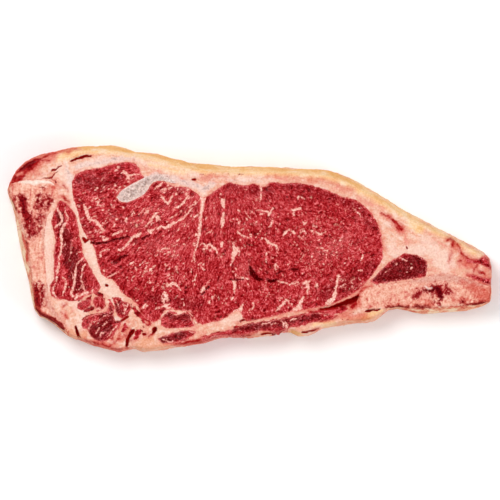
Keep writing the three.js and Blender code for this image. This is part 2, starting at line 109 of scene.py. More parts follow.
# Fat that runs through the eye muscle.
EYE_SEAMS = [
    [(203, 196, 2.4), (203, 202, 1.9), (202, 208, 2.1), (201, 214, 1.3), (200, 224, 1.1), (199, 233, 1.3),
     (198, 242, 1.1), (196, 249, 0.7), (194, 256, 0.8), (192, 261, 0.5)],
    [(196, 235, 1.9), (199, 236, 1.0)],
    [(195, 217, 1.2), (198, 215, 0.7)],
    [(192, 268, 0.5), (191, 273, 0.5)],
    [(196, 274, 0.7), (195, 281, 0.7)],
    [(195, 284, 1.0), (194, 287, 0.6)],
    [(118, 251, 0.9), (123, 248, 1.0), (127, 245, 1.1), (129, 241, 1.2), (132, 237, 1.6), (137, 235, 1.8),
     (141, 233, 1.2)],
    [(149, 231, 1.7), (151, 232, 1.9), (154, 230, 0.8)],
    [(157, 229, 0.8), (162, 227, 0.9), (166, 228, 1.7), (171, 225, 1.3), (177, 222, 1.0), (183, 218, 0.9),
     (188, 213, 0.8), (193, 208, 0.6)],
    [(190, 207, 0.5), (195, 204, 0.6), (201, 199, 0.7)],
    [(84, 205, 1.1), (86, 209, 1.7), (88, 214, 2.1), (89, 219, 1.5), (95, 221, 1.3), (98, 224, 1.8),
     (102, 228, 1.8), (105, 231, 1.0)],
    [(100, 233, 0.8), (104, 231, 0.8)],
    [(93, 236, 1.3), (94, 237, 0.9)],
    [(95, 228, 0.7), (96, 232, 0.7)],
    [(176, 208, 1.2), (180, 205, 1.2), (184, 202, 1.3), (187, 198, 1.0), (189, 193, 0.6)],
    [(145, 226, 0.8), (150, 221, 0.9), (153, 217, 1.3), (157, 218, 1.7), (160, 220, 0.8)],
    [(152, 218, 0.9), (155, 214, 0.9), (159, 213, 0.7)],
    [(112, 236, 0.8), (117, 233, 1.2), (121, 232, 0.8)],
    [(102, 240, 0.9), (108, 239, 1.2)],
    [(100, 257, 1.2), (101, 252, 1.0), (105, 250, 0.8), (109, 250, 0.6)],
    [(161, 195, 0.9), (164, 199, 1.4), (168, 204, 1.5), (170, 200, 0.9), (172, 196, 0.9)],
    [(118, 167, 1.5), (119, 167, 1.2)],
    [(124, 171, 1.2), (127, 174, 1.7), (129, 178, 0.9)],
    [(128, 175, 1.2), (133, 174, 0.9), (139, 174, 0.9)],
    [(168, 184, 0.8), (170, 190, 0.6)],
    [(184, 184, 0.8), (183, 190, 0.5)],
    [(98, 196, 0.8), (99, 200, 1.1), (97, 205, 0.8), (102, 206, 0.6)],
    [(125, 220, 1.2), (126, 222, 0.9)],
    [(134, 212, 1.1), (135, 214, 0.9)],
    [(145, 213, 1.0), (148, 211, 0.6)],
    [(109, 189, 0.7), (113, 188, 0.7), (118, 191, 0.8)],
    [(112, 228, 0.8), (115, 224, 0.7)],
    [(110, 203, 0.6), (113, 208, 0.6)],
    [(223, 201, 2.5), (223, 205, 2.0), (224, 208, 0.9)],
    [(224, 212, 0.9), (223, 217, 1.5), (222, 222, 2.0), (222, 227, 1.0)],
    [(203, 244, 1.0), (206, 247, 1.0), (209, 244, 0.8)],
    [(203, 249, 1.0), (207, 248, 0.8)],
    [(210, 244, 1.1), (213, 247, 1.4), (216, 250, 1.3), (217, 253, 1.1)],
    [(222, 243, 2.0), (222, 246, 1.7)],
    [(233, 243, 1.2), (234, 248, 2.2), (236, 251, 3.0), (234, 255, 2.4), (233, 258, 1.6), (231, 265, 0.6)],
    [(238, 248, 1.2), (236, 252, 2.2)],
    [(260, 186, 1.2), (261, 192, 0.8), (261, 199, 1.0), (259, 202, 0.9)],
    [(257, 210, 0.7), (262, 210, 0.8), (268, 212, 1.2), (269, 215, 1.1), (271, 211, 1.1), (273, 208, 0.9)],
    [(261, 214, 1.0), (263, 214, 0.9)],
    [(245, 212, 0.6), (248, 216, 0.7), (250, 218, 0.5)],
    [(251, 211, 0.6), (255, 214, 0.5)],
    [(256, 221, 0.6), (257, 226, 0.5)],
    [(238, 210, 1.1), (241, 212, 0.7)],
    [(239, 221, 1.0), (238, 223, 0.8)],
    [(244, 190, 0.9), (247, 190, 0.8)],
    [(272, 222, 1.1), (271, 227, 0.9)],
    [(237, 232, 1.2), (240, 234, 0.9), (245, 236, 0.9), (249, 238, 0.7), (252, 235, 0.6)],
    [(262, 238, 0.6), (266, 240, 0.9), (269, 243, 1.2), (273, 244, 0.9), (277, 247, 1.2), (279, 250, 0.6)],
    [(283, 237, 0.9), (285, 233, 1.4), (288, 231, 1.1), (291, 230, 0.8)],
    [(292, 232, 1.2), (295, 234, 1.6)],
    [(297, 200, 0.8), (298, 197, 0.9), (301, 196, 0.9), (304, 199, 0.6)],
    [(292, 210, 1.1), (297, 209, 1.5), (300, 208, 1.2)],
    [(294, 213, 0.9), (295, 216, 0.7)],
    [(299, 236, 0.6), (302, 240, 0.5), (304, 236, 0.5)],
    [(310, 230, 0.9), (314, 232, 0.8), (318, 233, 0.9), (321, 234, 1.1), (324, 233, 0.7), (327, 231, 0.6)],
    [(303, 221, 0.9), (305, 224, 1.1), (307, 221, 0.8)],
    [(316, 248, 0.6), (322, 248, 0.7), (327, 250, 0.6)],
    [(354, 209, 0.6), (356, 211, 0.7), (359, 213, 0.9), (360, 217, 0.7)],
    [(353, 203, 0.5), (354, 207, 0.5)],
    [(363, 255, 0.8), (361, 261, 0.6)],
    [(338, 276, 1.4), (337, 281, 1.5), (336, 287, 1.1), (335.6, 293, 1.5), (333, 299, 2.3), (329, 304, 3.0),
     (325, 308, 2.0)],
    [(287, 300, 1.2), (282, 305, 1.4), (276, 311, 0.8)],
    [(289, 300, 0.9), (288, 308, 0.6)],
    [(304, 297, 0.9), (301, 302, 2.0), (299, 307, 3.2), (294, 311, 2.0)],
    [(306, 282, 1.5), (308, 287, 1.6), (308, 293, 0.7)],
    [(303, 284, 0.7), (308, 282, 1.0), (312, 279, 0.6)],
    [(316, 284, 1.7), (317, 285, 1.2)],
    [(281, 281, 0.9), (285, 283, 0.9), (290, 284, 0.8), (295, 284, 0.8), (299, 282, 0.7)],
    [(266, 253, 0.7), (266, 262, 0.6)],
    [(276, 264, 1.1), (275, 269, 0.8)],
    [(237, 278, 0.7), (243, 277, 0.9), (248, 279, 1.0)],
    [(234, 282, 1.3), (235, 287, 1.3), (234, 292, 1.1)],
    [(232, 298, 1.7), (231, 299, 1.3)],
    [(253, 302, 0.9), (252, 309, 0.8)],
    [(243.8, 303.4, 0.6), (240.4, 308.6, 2.0), (235, 313, 3.0)],
    [(167, 284, 1.7), (168, 287, 0.9)],
    [(171, 287, 0.9), (172, 284, 1.4), (175, 284, 1.3), (179, 287, 1.0), (181, 289, 0.7)],
    [(164, 293, 1.2), (166, 296, 2.4), (167, 300, 1.3)],
    [(160, 296, 0.9), (164, 301, 1.2)],
    [(155, 309, 0.7), (161, 308, 0.9), (165, 306, 1.5), (168, 309, 1.7), (172, 309, 1.0)],
    [(163, 302, 0.7), (165, 305, 1.2), (169, 305, 0.8)],
    [(201, 292, 1.2), (204, 289, 1.3), (204, 286, 0.9)],
    [(202, 268, 1.1), (204, 270, 1.0)],
    [(214, 297, 1.2), (213, 299, 0.9)],
    [(209, 302, 1.1), (210, 304, 0.7)],
    [(131, 264, 1.2), (133, 263, 0.9)],
    [(141, 264, 1.0), (143, 263, 0.7)],
    [(150, 270, 1.1), (151, 272, 0.9)],
    [(136, 268, 0.9), (136, 271, 0.9)],
    [(112, 262, 0.9), (113, 262, 0.7)],
    [(104, 270, 1.2), (105, 270, 0.9)],
    [(106, 277, 0.8), (112, 275, 0.7), (119, 272, 0.6)],
    [(174, 251, 0.6), (175, 255, 0.7)],
    [(165, 248, 1.0), (170, 249, 0.8)],
    [(183, 244, 1.0), (186, 245, 0.8)],
    [(142, 309, 0.9), (146, 305, 1.0)],
    [(180, 311.6, 0.8), (186, 310.6, 0.8), (192, 310.6, 0.6), (198, 311.4, 0.4)],
]

# Fat that runs through the small muscles.
SMALL_SEAMS = [
    [(57.4, 208.6, 0.9), (58.8, 212, 1.2), (61, 215.6, 1.6), (62, 219.6, 1.6), (61, 222.8, 1.2),
     (58, 224.8, 1.0), (54.8, 228.4, 0.8)],
    [(64.6, 206.4, 0.6), (65, 210.4, 0.7), (66.8, 214.4, 0.7), (68, 218, 0.7), (66.4, 222.8, 0.8),
     (63, 226.4, 1.4), (61, 231, 1.3), (61.2, 238, 1.3), (60.6, 249, 1.2), (60, 256, 1.0), (59, 264, 0.9),
     (57, 272, 0.9), (56, 280, 0.8)],
    [(62, 277, 0.8), (65, 280, 1.1), (65, 287, 1.3), (63, 296, 0.9)],
    [(83, 258, 1.1), (79, 262, 0.8), (76, 265, 1.0), (75, 273, 1.0), (74, 281, 1.3), (72, 288, 1.0),
     (71, 295, 1.1), (75, 300, 1.0)],
    [(71, 272, 0.5), (73, 280, 0.6)],
    [(86, 264, 0.9), (83, 268, 1.0), (82, 275, 1.0), (82, 283, 1.1), (84, 290, 1.1), (88, 297, 1.0)],
    [(74, 299, 0.9), (79, 296, 1.1), (84, 293.6, 1.1), (89, 292, 0.9)],
    [(56.6, 270, 0.7), (55.6, 279, 0.9), (54, 286, 0.8)],
    [(79, 290, 0.6), (81, 286, 0.7)],
    [(127.4, 301.6, 0.7), (126.8, 304.6, 0.8), (126, 308, 0.7), (124.6, 312, 0.7), (123, 313.6, 0.9)],
    [(72, 243, 0.6), (71, 253, 0.6)],
    [(77, 238, 0.7), (72, 241, 0.6)],
    [(65, 244, 0.9), (63, 246, 0.8)],
    [(92, 290, 1.1), (92, 300, 1.3)],
    [(53, 287, 0.9), (54, 294, 1.1), (58, 298, 1.2)],
    [(81, 252, 0.8), (77, 253, 0.6)],
    [(76, 289, 0.9), (77, 289, 0.7)],
    [(73, 297, 0.5), (77, 294, 0.5)],
    [(84, 318, 0.3), (92, 316, 0.4), (101, 313, 0.6), (107, 310, 0.4)],
    [(89, 329, 0.4), (93, 322, 0.5), (100, 319, 0.4), (108, 315, 0.4), (111, 311, 0.3)],
    [(99, 339, 0.5), (101, 333, 0.7), (106, 331, 0.5)],
    [(103, 327, 0.6), (107, 322, 0.6)],
    [(95, 334, 0.6), (99, 328, 0.6)],
    [(107, 338, 0.6), (112, 332, 0.7), (117, 326, 0.8)],
    [(87, 332, 0.6), (90, 325, 0.6)],
    [(96, 325, 0.5), (100, 323, 0.5)],
    [(113, 310, 0.7), (114, 317, 1.0)],
    [(116, 300, 0.7), (119, 306, 0.5)],
    [(123, 303, 0.6), (126, 310, 0.6)],
    [(93, 303, 0.8), (96, 308, 1.3), (101, 311, 1.2)],
    [(188, 331, 0.6), (191, 331, 0.8), (194, 333, 0.5)],
    [(166, 336, 0.6), (170, 333, 0.6)],
    [(163, 340, 0.7), (168, 341, 0.7), (175, 342, 0.7)],
    [(172, 313, 0.6), (177, 316, 0.7)],
    [(190, 315, 0.8), (193, 320, 1.2), (195, 325, 0.9)],
    [(281, 320, 0.7), (284, 323, 1.0), (283, 326, 0.6)],
    [(262, 324, 0.6), (270, 323, 0.6)],
    [(271, 325, 0.5), (276, 324, 0.6)],
    [(285, 322, 0.9), (287, 327, 1.1), (286, 331, 1.2)],
    [(290, 320, 0.9), (297, 319, 0.8)],
    [(245, 326, 0.6), (250, 325, 0.6)],
    [(206, 339, 0.6), (214, 337, 0.6), (222, 335, 0.6)],
    [(318, 313, 0.6), (327, 315, 0.7)],
    [(399, 257, 0.9), (403, 259, 0.8), (407, 261, 0.7)],
    [(412.6, 266, 0.7), (410, 271, 0.4)],
    [(396, 263, 0.5), (397, 265, 0.4)],
    [(385, 272, 0.3), (391, 269, 0.3)],
]

# Clefts: torn or sawn splits, painted dark inside as painted shade, and how deep each opens, in millimetres.
CLEFTS = [
    (2.2, [(71, 160.6, 0.3), (76, 158.6, 0.55), (82, 157, 0.7), (86, 156.2, 0.6), (91, 156.4, 0.3)]),
    (1.0, [(51.5, 169.8, 0.3), (54.4, 169.2, 0.3), (57.6, 168, 0), (62, 166.4, -0.1)]),
    (0.5, [(43, 178.6, -0.2), (49, 177.9, 0.1), (52.4, 176.2, 0.1), (58, 171, -0.2)]),
    (1.2, [(193, 179.2, 0.7), (196, 178.8, 0.7)]),
    (1.2, [(106, 285, 0.9), (107, 285, 0.9)]),
    (2.2, [(156, 328.2, 1.1), (154.8, 330.4, 1.7), (153.4, 332.2, 0.9)]),
    (1.0, [(143, 334, 0.7), (145, 334, 0.8)]),
    (3.0, [(75.4, 326.6, 0.3), (77, 331.6, 0.9), (79, 337.4, 0.6)]),
    (2.0, [(132.4, 331.2, 1.2), (131, 333.6, 1.5), (129, 337.6, 1.1), (127.8, 341.6, 0.8),
           (126.4, 345.6, 0.6)]),
    (1.6, [(366, 311, 0.6), (370, 311, 0.8), (373, 309.4, 0.5), (380, 309.3, 0.3)]),
    (1.6, [(303, 331.8, 0.5), (309, 332, 0.8), (314, 331.4, 0.7), (318, 330.5, 0.9)]),
    (1.2, [(250, 336, 0.8), (248, 337.2, 0.9)]),
    (1.0, [(262, 334, 0.5), (269, 334, 0.6), (276, 334, 0.5)]),
    (0.7, [(407, 247.5, 0.6), (407.4, 248.5, 0.5)]),
    (2.6, [(320, 309.2, 0.3), (331, 307.2, 0.8), (341, 305, 1.6), (348, 302.4, 2.1), (354, 299.6, 2.1),
           (358, 296.8, 1.0)]),
    (1.8, [(250.2, 266, 0.4), (250.8, 270, 1.1), (252.4, 273.6, 1.9), (255.6, 276.8, 1.8),
           (259.6, 278.8, 1.0), (263, 279.8, 0.5)]),
    (1.0, [(266.4, 279.4, 0.5), (270, 281, 1.2), (274, 280.8, 1.0), (277, 279, 0.4)]),
    (0.8, [(276, 273.4, 0.5), (280, 271.6, 0.8), (283, 271, 0.4)]),
    (0.9, [(230, 279, 0.1), (237, 280.4, 0.35), (243, 279.6, 0.2)]),
    (1.2, [(112, 262, 0.5), (118, 259, 0.9), (123, 256.4, 1.2), (127, 255, 0.7)]),
    (0.9, [(91, 242.6, 0.6), (100, 243, 0.8), (108, 242, 0.6), (114, 240, 0.9), (121, 238.6, 0.7),
           (130, 236.6, 0.4)]),
    (0.8, [(142, 238.6, 0.8), (146, 236.4, 0.8), (149, 235.4, 0.5)]),
    (1.0, [(206, 288.6, 0.7), (209, 286, 0.5)]),
    (0.7, [(200, 295, 0.3), (204, 292.6, 0.5)]),
    (0.8, [(186, 287, 0.8), (187, 288, 0.7)]),
    (0.9, [(289, 270.4, 0.4), (293, 269, 0.8), (298, 269.6, 0.6)]),
    (0.8, [(127.6, 316.4, 0.5), (124, 319, 0.8), (120, 322, 0.6), (115, 322.6, 0.4)]),
    (0.7, [(83, 238, 0.4), (85, 243, 0.6), (87, 240, 0.4)]),
    (0.7, [(423.4, 291.2, 0.4), (426.4, 290.4, 0.6), (432, 291, 0.3), (435.6, 288, 1.2), (438.4, 289.6, 1.8),
           (440, 294, 1.6), (440.8, 298, 0.9)]),
]

# Stretches of lean: those in shade, those that have dried dark, and those that glow.
LEAN_SHADE = [
    [(284, 185, 2), (310, 189, 3), (340, 199, 4), (360, 210, 4), (374, 228, 3)],
    [(322, 296, 5), (342, 286, 8), (358, 277, 7), (372, 264, 4)],
    [(80, 182, 5), (100, 184, 8), (120, 178, 4)],
    [(84, 226, 4), (90, 234, 3)],
    [(225, 186, 3), (235, 185, 3), (250, 190, 3), (268, 190, 4)],
    [(150, 298, 5), (178, 302, 4), (200, 305, 5)],
    [(156, 184, 3), (178, 190, 2)],
]
LEAN_DRIED = [
    [(58, 214, 3), (66, 240, 6), (72, 262, 8), (80, 286, 6)],
    [(96, 334, 8), (106, 326, 8), (112, 316, 3)],
    [(118, 304, 3), (122, 312, 3)],
    [(376, 278, 4), (400, 272, 12), (420, 264, 12), (430, 262, 8)],
    [(234, 328, 3), (250, 326, 5), (270, 324, 5), (292, 320, 4), (316, 317, 4)],
    [(165, 339, 5), (185, 335, 4)],
    [(168, 314, 4), (186, 316, 5)],
    [(150, 331, 4), (158, 330, 4)],
    [(102, 318, 3), (118, 308, 4)],
]
LEAN_GLOW = [
    [(122, 226, 4), (134, 226, 6), (146, 222, 3)],
    [(108, 214, 3), (116, 218, 3)],
    [(248, 266, 4), (240, 280, 4)],
    [(150, 246, 5), (176, 250, 7)],
    [(320, 255, 9), (345, 240, 8)],
    [(135, 168, 3), (138, 176, 2)],
    [(136, 334, 3), (133, 339, 2)],
    [(84, 322, 2), (88, 326, 2)],
]

# The fat cap: its dried amber skin along the outer edge, and the honey-coloured fat beside it.
CAP_AMBER = [
    [(56, 149.6, 0.5), (75, 145.6, 2.0), (96, 145.0, 4.2), (114, 146.0, 4.2), (134, 150.4, 2.2),
     (150, 152.4, 2.2), (172, 158.8, 3.0), (190, 163.4, 3.0), (210, 165.6, 2.6), (236, 166.8, 1.8),
     (262, 166.6, 1.6), (300, 168.4, 1.6), (332, 172.6, 2.4), (348, 179, 2.2), (362, 186, 0.8)],
    [(292, 331.6, 1.6), (297, 333.8, 2.2), (302, 333.6, 0.8)],
    [(363, 318.6, 1.4), (368, 317, 1.2)],
]
CAP_HONEY = [
    [(60, 150, 3), (85, 148.4, 4), (112, 149, 5), (136, 153, 4), (160, 158, 5), (190, 166, 6),
     (220, 169, 5.5), (260, 170, 5.5), (300, 172, 5.5), (332, 176, 5.5), (360, 187, 5.5), (386, 203, 4.5),
     (410, 218, 4), (436, 231, 3), (462, 245, 3), (480, 255, 2)],
    [(60, 158, 4), (72, 152, 5), (84, 150, 5)],
    [(150, 164, 1.5), (170, 169, 2.5), (190, 173, 1.5)],
    [(412, 222, 5), (420, 228, 5)],
    [(314, 325.4, 1.4), (324, 323.8, 2.4), (332, 322, 2)],
    [(367, 315, 2), (374, 313.4, 3), (381, 311, 2)],
]

# The cleanest, lightest fat.
PALE_FAT = [
    [(50, 196, 3), (48, 215, 5), (48, 240, 6), (49, 270, 5), (50, 290, 3)],
    [(60, 168, 3), (68, 178, 5), (72, 194, 5), (77, 210, 4), (84, 232, 4), (92, 256, 5), (104, 284, 6),
     (118, 300, 6)],
    [(66, 296, 3), (76, 304, 5), (84, 314, 4), (80, 326, 4)],
    [(134, 154, 4), (150, 162, 5), (172, 168, 5), (196, 174, 4)],
    [(388, 246, 2), (396, 254, 4), (408, 250, 4), (420, 250, 6)],
    [(424, 240, 4), (432, 248, 7), (440, 260, 8), (446, 269, 5)],
    [(446, 252, 4), (452, 264, 4)],
    [(256, 314, 4), (240, 318, 3), (222, 322, 2)],
    [(296, 334, 2), (306, 334, 3), (316, 327, 3), (330, 323, 3), (336, 320, 2)],
    [(248, 333, 2), (258, 331, 2)],
]

# Stains: pooled blood, and the fat and bone that it has tinted.
BLOOD = [
    [(308, 310.8, 0.3), (326, 309.2, 0.9), (340, 306.2, 1.9), (349, 303.2, 2.7), (355, 300.2, 2.8),
     (358.6, 297, 1.2)],
    [(357.8, 295.6, 0.9), (360, 291.8, 0.3), (364, 288, 0.7), (367, 286.4, 0.3), (371, 286, -0.2)],
    [(15, 174, 0.8), (20, 169, 3.6), (27, 165.2, 5.6), (34, 161.4, 4.6), (40, 160, 1.8)],
    [(24, 172.6, 1.2), (30, 169, 1.4), (36, 165.4, 1.2)],
    [(7, 181, 2.0), (14, 178.6, 3.2), (20, 178, 2.6), (24, 175.4, 1.4)],
    [(5, 185, 2.0), (11, 184, 2.6), (17, 181.8, 1.6)],
    [(42.6, 160.8, 0.6), (44.6, 159.8, 0.6)],
    [(47, 160.6, 0.9), (50, 161.2, 0.5)],
    [(131.4, 341.4, 0.5), (135.6, 339.2, 0.7), (137.8, 336.2, 0.5)],
    [(149, 336, 0.7), (153, 333.4, 1.0)],
    [(144.6, 335, 0.8), (146, 333.8, 0.7)],
    [(352, 308, 1.6), (357, 303, 2.2)],
    [(388, 215, 0.7), (392, 218.6, 1.4), (396, 222.6, 1.6), (400, 226.6, 1.5), (402, 230, 0.9)],
    [(394, 226, 0.6), (399, 229.6, 0.8)],
    [(382, 213, 0.4), (388, 216, 0.5)],
    [(447, 240.6, 0.5), (450, 238.6, 0.9), (452.6, 240.6, 1.5), (453.4, 243.6, 1.2), (453.2, 246.6, 0.6)],
    [(450, 238.4, 0.8), (454.8, 241.4, 0.8)],
    [(457.2, 243.2, 0.6), (460.4, 249.6, 0.6), (462.4, 254.6, 0.8), (465.4, 257.6, 0.9), (470, 258.6, 0.8)],
    [(465.6, 259.8, 0.5), (470, 258.8, 0.6)],
    [(468, 261.8, 0.9), (473.6, 260.4, 1.4), (478.6, 261, 1.6), (482, 259.8, 1.8), (487, 262, 2.2)],
    [(466.2, 263.2, 0.5), (467.4, 263, 0.5)],
    [(452, 249, -0.2), (451, 256, 0), (449, 262, -0.2)],
    [(458.6, 261.6, 0.6), (460.4, 261.2, 0.5)],
    [(478, 264, 0.8), (476.8, 266.6, 0.6), (474.4, 268, 0.8), (474, 271.6, 0.5)],
    [(478.6, 271.4, 0.9), (481.6, 273, 1.6), (484.6, 274.6, 1.0)],
    [(467, 274.4, 0.5), (473, 275.4, 1.2), (480.6, 278.4, 1.6), (486, 280.2, 1.9), (491, 280.4, 2.2)],
    [(60, 150, 1.0), (66, 149, 1.1), (74, 147.2, 1.0)],
    [(44, 157.6, 0.8), (50, 154.4, 1.2), (56, 152.4, 0.8)],
    [(63.6, 306.4, 0.2), (66.4, 305, 0.1)],
    [(60, 312.6, 0), (64.6, 313.6, 0.3), (67, 317.6, 0.1)],
    [(80.6, 339.6, 0.8), (86, 340.8, 0.4), (91, 342.6, 0.7)],
    [(93.4, 342, 0.7), (95, 344.4, 0.8)],
    [(97.6, 344, 1.1), (99.6, 344.6, 1.0)],
    [(101, 343.6, 0.5), (106, 345.2, 0.7), (109, 346.6, 1.1), (110.4, 345, 0.9)],
    [(176, 344.4, 0.6), (183, 343.4, 1.2), (190, 342, 1.3), (197, 340.6, 1.4), (205, 339, 1.2)],
    [(184, 346, 0.5), (194, 344.8, 0.8), (204, 342.6, 0.9), (212, 340.4, 0.8)],
    [(127, 336.6, 0.6), (124.6, 334.6, 0.6)],
    [(119.4, 335.4, 0.6), (120.6, 338, 0.7), (117, 340.8, 0.6)],
    [(111.6, 338, 0.6), (113.4, 341.6, 0.7), (115, 343, 0.5)],
    [(147, 318, 1.0), (150, 323, 1.4)],
    [(112, 348.4, 0.7), (124, 351, 0.8)],
    [(127, 347.4, 0.6), (125, 349.6, 0.8)],
    [(230, 334, 0.7), (244, 332, 0.9), (258, 331.4, 0.7)],
    [(318, 322, 0.6), (328, 319.4, 0.8), (336, 316.6, 0.8)],
    [(246, 335.6, 0.9), (250, 335.2, 1.0)],
    [(314, 331, 0.8), (318, 330.4, 1.2)],
    [(64, 185, 0.3), (66.6, 188, 0.4), (69, 191, 0.3)],
    [(62, 196, 0.6), (66, 199, 0.6), (69, 202, 0.5)],
]
BLUSH = [
    [(8, 182, 5), (20, 174, 7), (33, 166, 8), (42, 159, 7), (52, 155.6, 5)],
    [(56, 153, 4), (70, 149.6, 3), (80, 148, 1.6)],
    [(360, 289, 4.4), (366, 286, 4.2), (374, 282, 2.0)],
    [(350, 292, 2.4), (360, 300, 4.6), (352, 309, 4)],
    [(388, 218, 2.4), (395, 224, 4), (402, 231, 3)],
    [(446, 240, 2), (454, 244, 2.6), (460, 254, 2), (466, 262, 2), (474, 268, 4)],
    [(470, 276, 3), (482, 280, 4), (488, 270, 3)],
    [(62, 306, 1.6), (64, 315, 2.4)],
    [(84, 341, 2), (96, 344, 3), (110, 346, 4), (120, 340, 4)],
    [(116, 330, 3), (126, 328, 3), (126, 338, 3)],
    [(141, 312, 2.4), (148, 322, 3.4), (156, 318, 1.6)],
    [(168, 343, 2), (184, 344, 3), (204, 341, 3.4), (222, 336, 2.4)],
    [(340, 313, 3), (350, 315, 4), (366, 315, 3)],
    [(322, 320, 1.6), (334, 317, 2.6)],
    [(236, 323, 1.4), (250, 319.6, 1.6), (272, 317, 1.8), (290, 313.6, 1.6), (310, 309.4, 1.6),
     (330, 303, 1.6)],
    [(126, 322, 2), (134, 322, 2)],
    [(352, 190, 1.8), (330, 182, 1.6), (306, 178, 1.4), (280, 177, 1.4), (262, 177, 1.2)],
    [(372, 212, 1.6), (380, 232, 1.6), (384, 250, 1.4)],
    [(196, 178, 1.4), (212, 177, 1.6), (226, 178, 1.0)],
    [(44, 190, 3), (54, 188, 2)],
    [(52, 178, 1.2), (56, 182, 2.0), (59, 187, 1.6)],
    [(36, 174, 2), (50, 173, 1)],
    [(240, 334, 1.6), (262, 331.6, 1.6), (280, 331, 1.2)],
    [(462, 282, 2), (474, 286, 4)],
    [(478, 290, 6), (484, 296, 9), (489, 300, 8)],
    [(489, 286, 2), (490, 292, 3)],
    [(428, 301, 2), (430, 304, 3)],
    [(396, 306, 1), (410, 306, 1)],
    [(454, 301, 2), (466, 300, 3)],
]

# Scraps of lean in the fat.
SCRAPS = [
    [(74.6, 295, 1.4), (78, 299.6, 2.4)],
    [(134.4, 338, 2.0), (137, 334.4, 3.0), (138.8, 331, 2.4), (142, 330.6, 0.9)],
    [(130.4, 330.4, 1.2), (128.6, 335, 1.0)],
    [(121.4, 332, 0.9), (123.6, 329.8, 1.7), (125.6, 327, 1.7), (124.4, 323.6, 0.7)],
    [(349.6, 314, 0.1), (353, 313, 0.3), (355, 311.8, 0.2)],
    [(340, 317.6, 0.1), (342.4, 320, 0.3)],
    [(346, 319.6, 0.4), (347.4, 319.4, 0.4)],
    [(197, 175, -0.1), (203, 173.6, 0.1), (210, 173.2, 0.1), (216, 174.4, -0.1)],
    [(222, 173.8, -0.1), (232, 175.2, 0.1), (242, 173.6, 0), (252, 175, -0.1)],
    [(243, 178.6, 0), (249, 177.4, 0.1)],
    [(51, 177.6, 0), (55, 181, 0.2), (58.6, 186, 0.2), (60.6, 190.6, 0)],
    [(88, 299.6, 2.0), (91, 295.6, 1.4)],
    [(84, 311.4, 1.2), (88, 310.4, 2.2), (92, 308, 1.8)],
    [(82, 320, 0.6), (85, 317.6, 1.0), (91, 316.2, 1.1), (97, 315, 1.1), (103, 313, 0.9)],
    [(94, 291, 1.6), (97, 294, 2.6), (101, 295, 2.4)],
    [(103, 299, 1.6), (104.4, 305, 1.4)],
    [(109.4, 299.6, 1.2), (111.4, 304, 2.2), (111.6, 309, 2.6), (110.4, 314, 2.6), (112, 318, 1.8)],
    [(114, 298.4, 1.2), (118, 298, 1.8), (121, 300.6, 1.4)],
    [(130.6, 303.4, 1.2), (130.4, 306, 1.3), (128.6, 310, 1.2), (126, 314, 0.9), (123, 318, 0.7),
     (118, 322.4, 0.5)],
    [(121, 324.6, 0.4), (117.4, 329.6, 0.6), (113.6, 334.6, 0.7), (111, 338.6, 0.6)],
    [(85.4, 321, 2.2), (86.6, 325, 2.0), (86.6, 329.4, 1.0)],
    [(133.6, 308.4, 1.6), (138, 313, 2.4), (142, 317, 2.4), (147, 319, 2.2), (152, 317, 2.0),
     (158, 315.6, 1.6)],
    [(142.8, 321, 1.2), (146, 324.4, 1.1), (150.6, 325.4, 0.9), (151.4, 322, 0.6)],
    [(143.4, 325, 0.8), (145, 327.4, 1.0)],
    [(236, 327.8, 1.3), (247.7, 324.8, 1.4), (258, 323.2, 1.0), (270.8, 321, 0.6), (282, 319.2, 0.8),
     (293.8, 316.9, 1.0), (305, 314, 1.4), (317, 311.9, 1.6), (326, 309.6, 1.4), (334, 308.2, 0.8)],
    [(240, 320.6, 0.7), (248, 320, 1.0), (258, 318.6, 0.8)],
    [(322, 313, 2.0), (332, 311.6, 2.8), (340, 310.6, 3.0), (345, 309, 2.4)],
    [(168, 311.6, 0.6), (172, 313.4, 1.2), (176, 314, 1.0)],
    [(186, 312.4, 0.5), (190, 314, 1.6), (193.4, 318.4, 0.9)],
    [(197, 313, 1.2), (198, 318, 1.2), (199, 323, 0.8)],
    [(166, 340.6, 0.8), (176, 341, 1.0), (188, 338.6, 0.8)],
    [(198, 338, 0.6), (206, 336.8, 1.0), (214, 334.8, 1.2), (222, 332.4, 1.0)],
    [(52, 282, 0.6), (52.6, 290, 1.2), (54, 296, 0.8)],
]

# Grey, half-clear connective tissue in the fat, and the beige skin of the lower edge.
SINEW = [
    [(76, 167, 2.4), (88, 164, 3.2), (104, 162, 3.0), (120, 159, 2.0), (134, 158, 1.2)],
    [(147, 177.6, 2.2), (156, 175.8, 2.8), (168, 177.2, 2.6), (180, 181.4, 2.6), (192, 184, 3.0),
     (204, 188, 3.4), (214, 183, 2.0)],
    [(66, 166, 1.4), (70, 176, 2.6), (72, 188, 2.2)],
    [(225, 180, 0.8), (246, 181, 1.2), (262, 181, 1.0)],
    [(114, 318, 1.8), (118, 319.6, 1.6)],
    [(147, 319, 1.6), (150, 318, 1.2)],
    [(152, 320, 1.4), (154, 323, 1.0)],
]
BEIGE = [
    [(292, 333, 3), (303, 332, 3), (312, 329, 2.6), (326, 325, 2.4), (340, 322, 2.4), (360, 318, 3.6),
     (376, 314, 4)],
    [(246, 334, 2.2), (262, 333, 1.6), (280, 333, 1.2)],
    [(150, 340, 5), (140, 346, 4), (168, 346, 1.6)],
    [(66, 332, 3), (74, 334, 3.4), (84, 336, 2.6)],
    [(388, 309, 1.0), (402, 310.6, 1.8), (420, 312, 2.6), (445, 311, 2.4), (476, 308.6, 2.2),
     (488, 305, 0.8)],
]

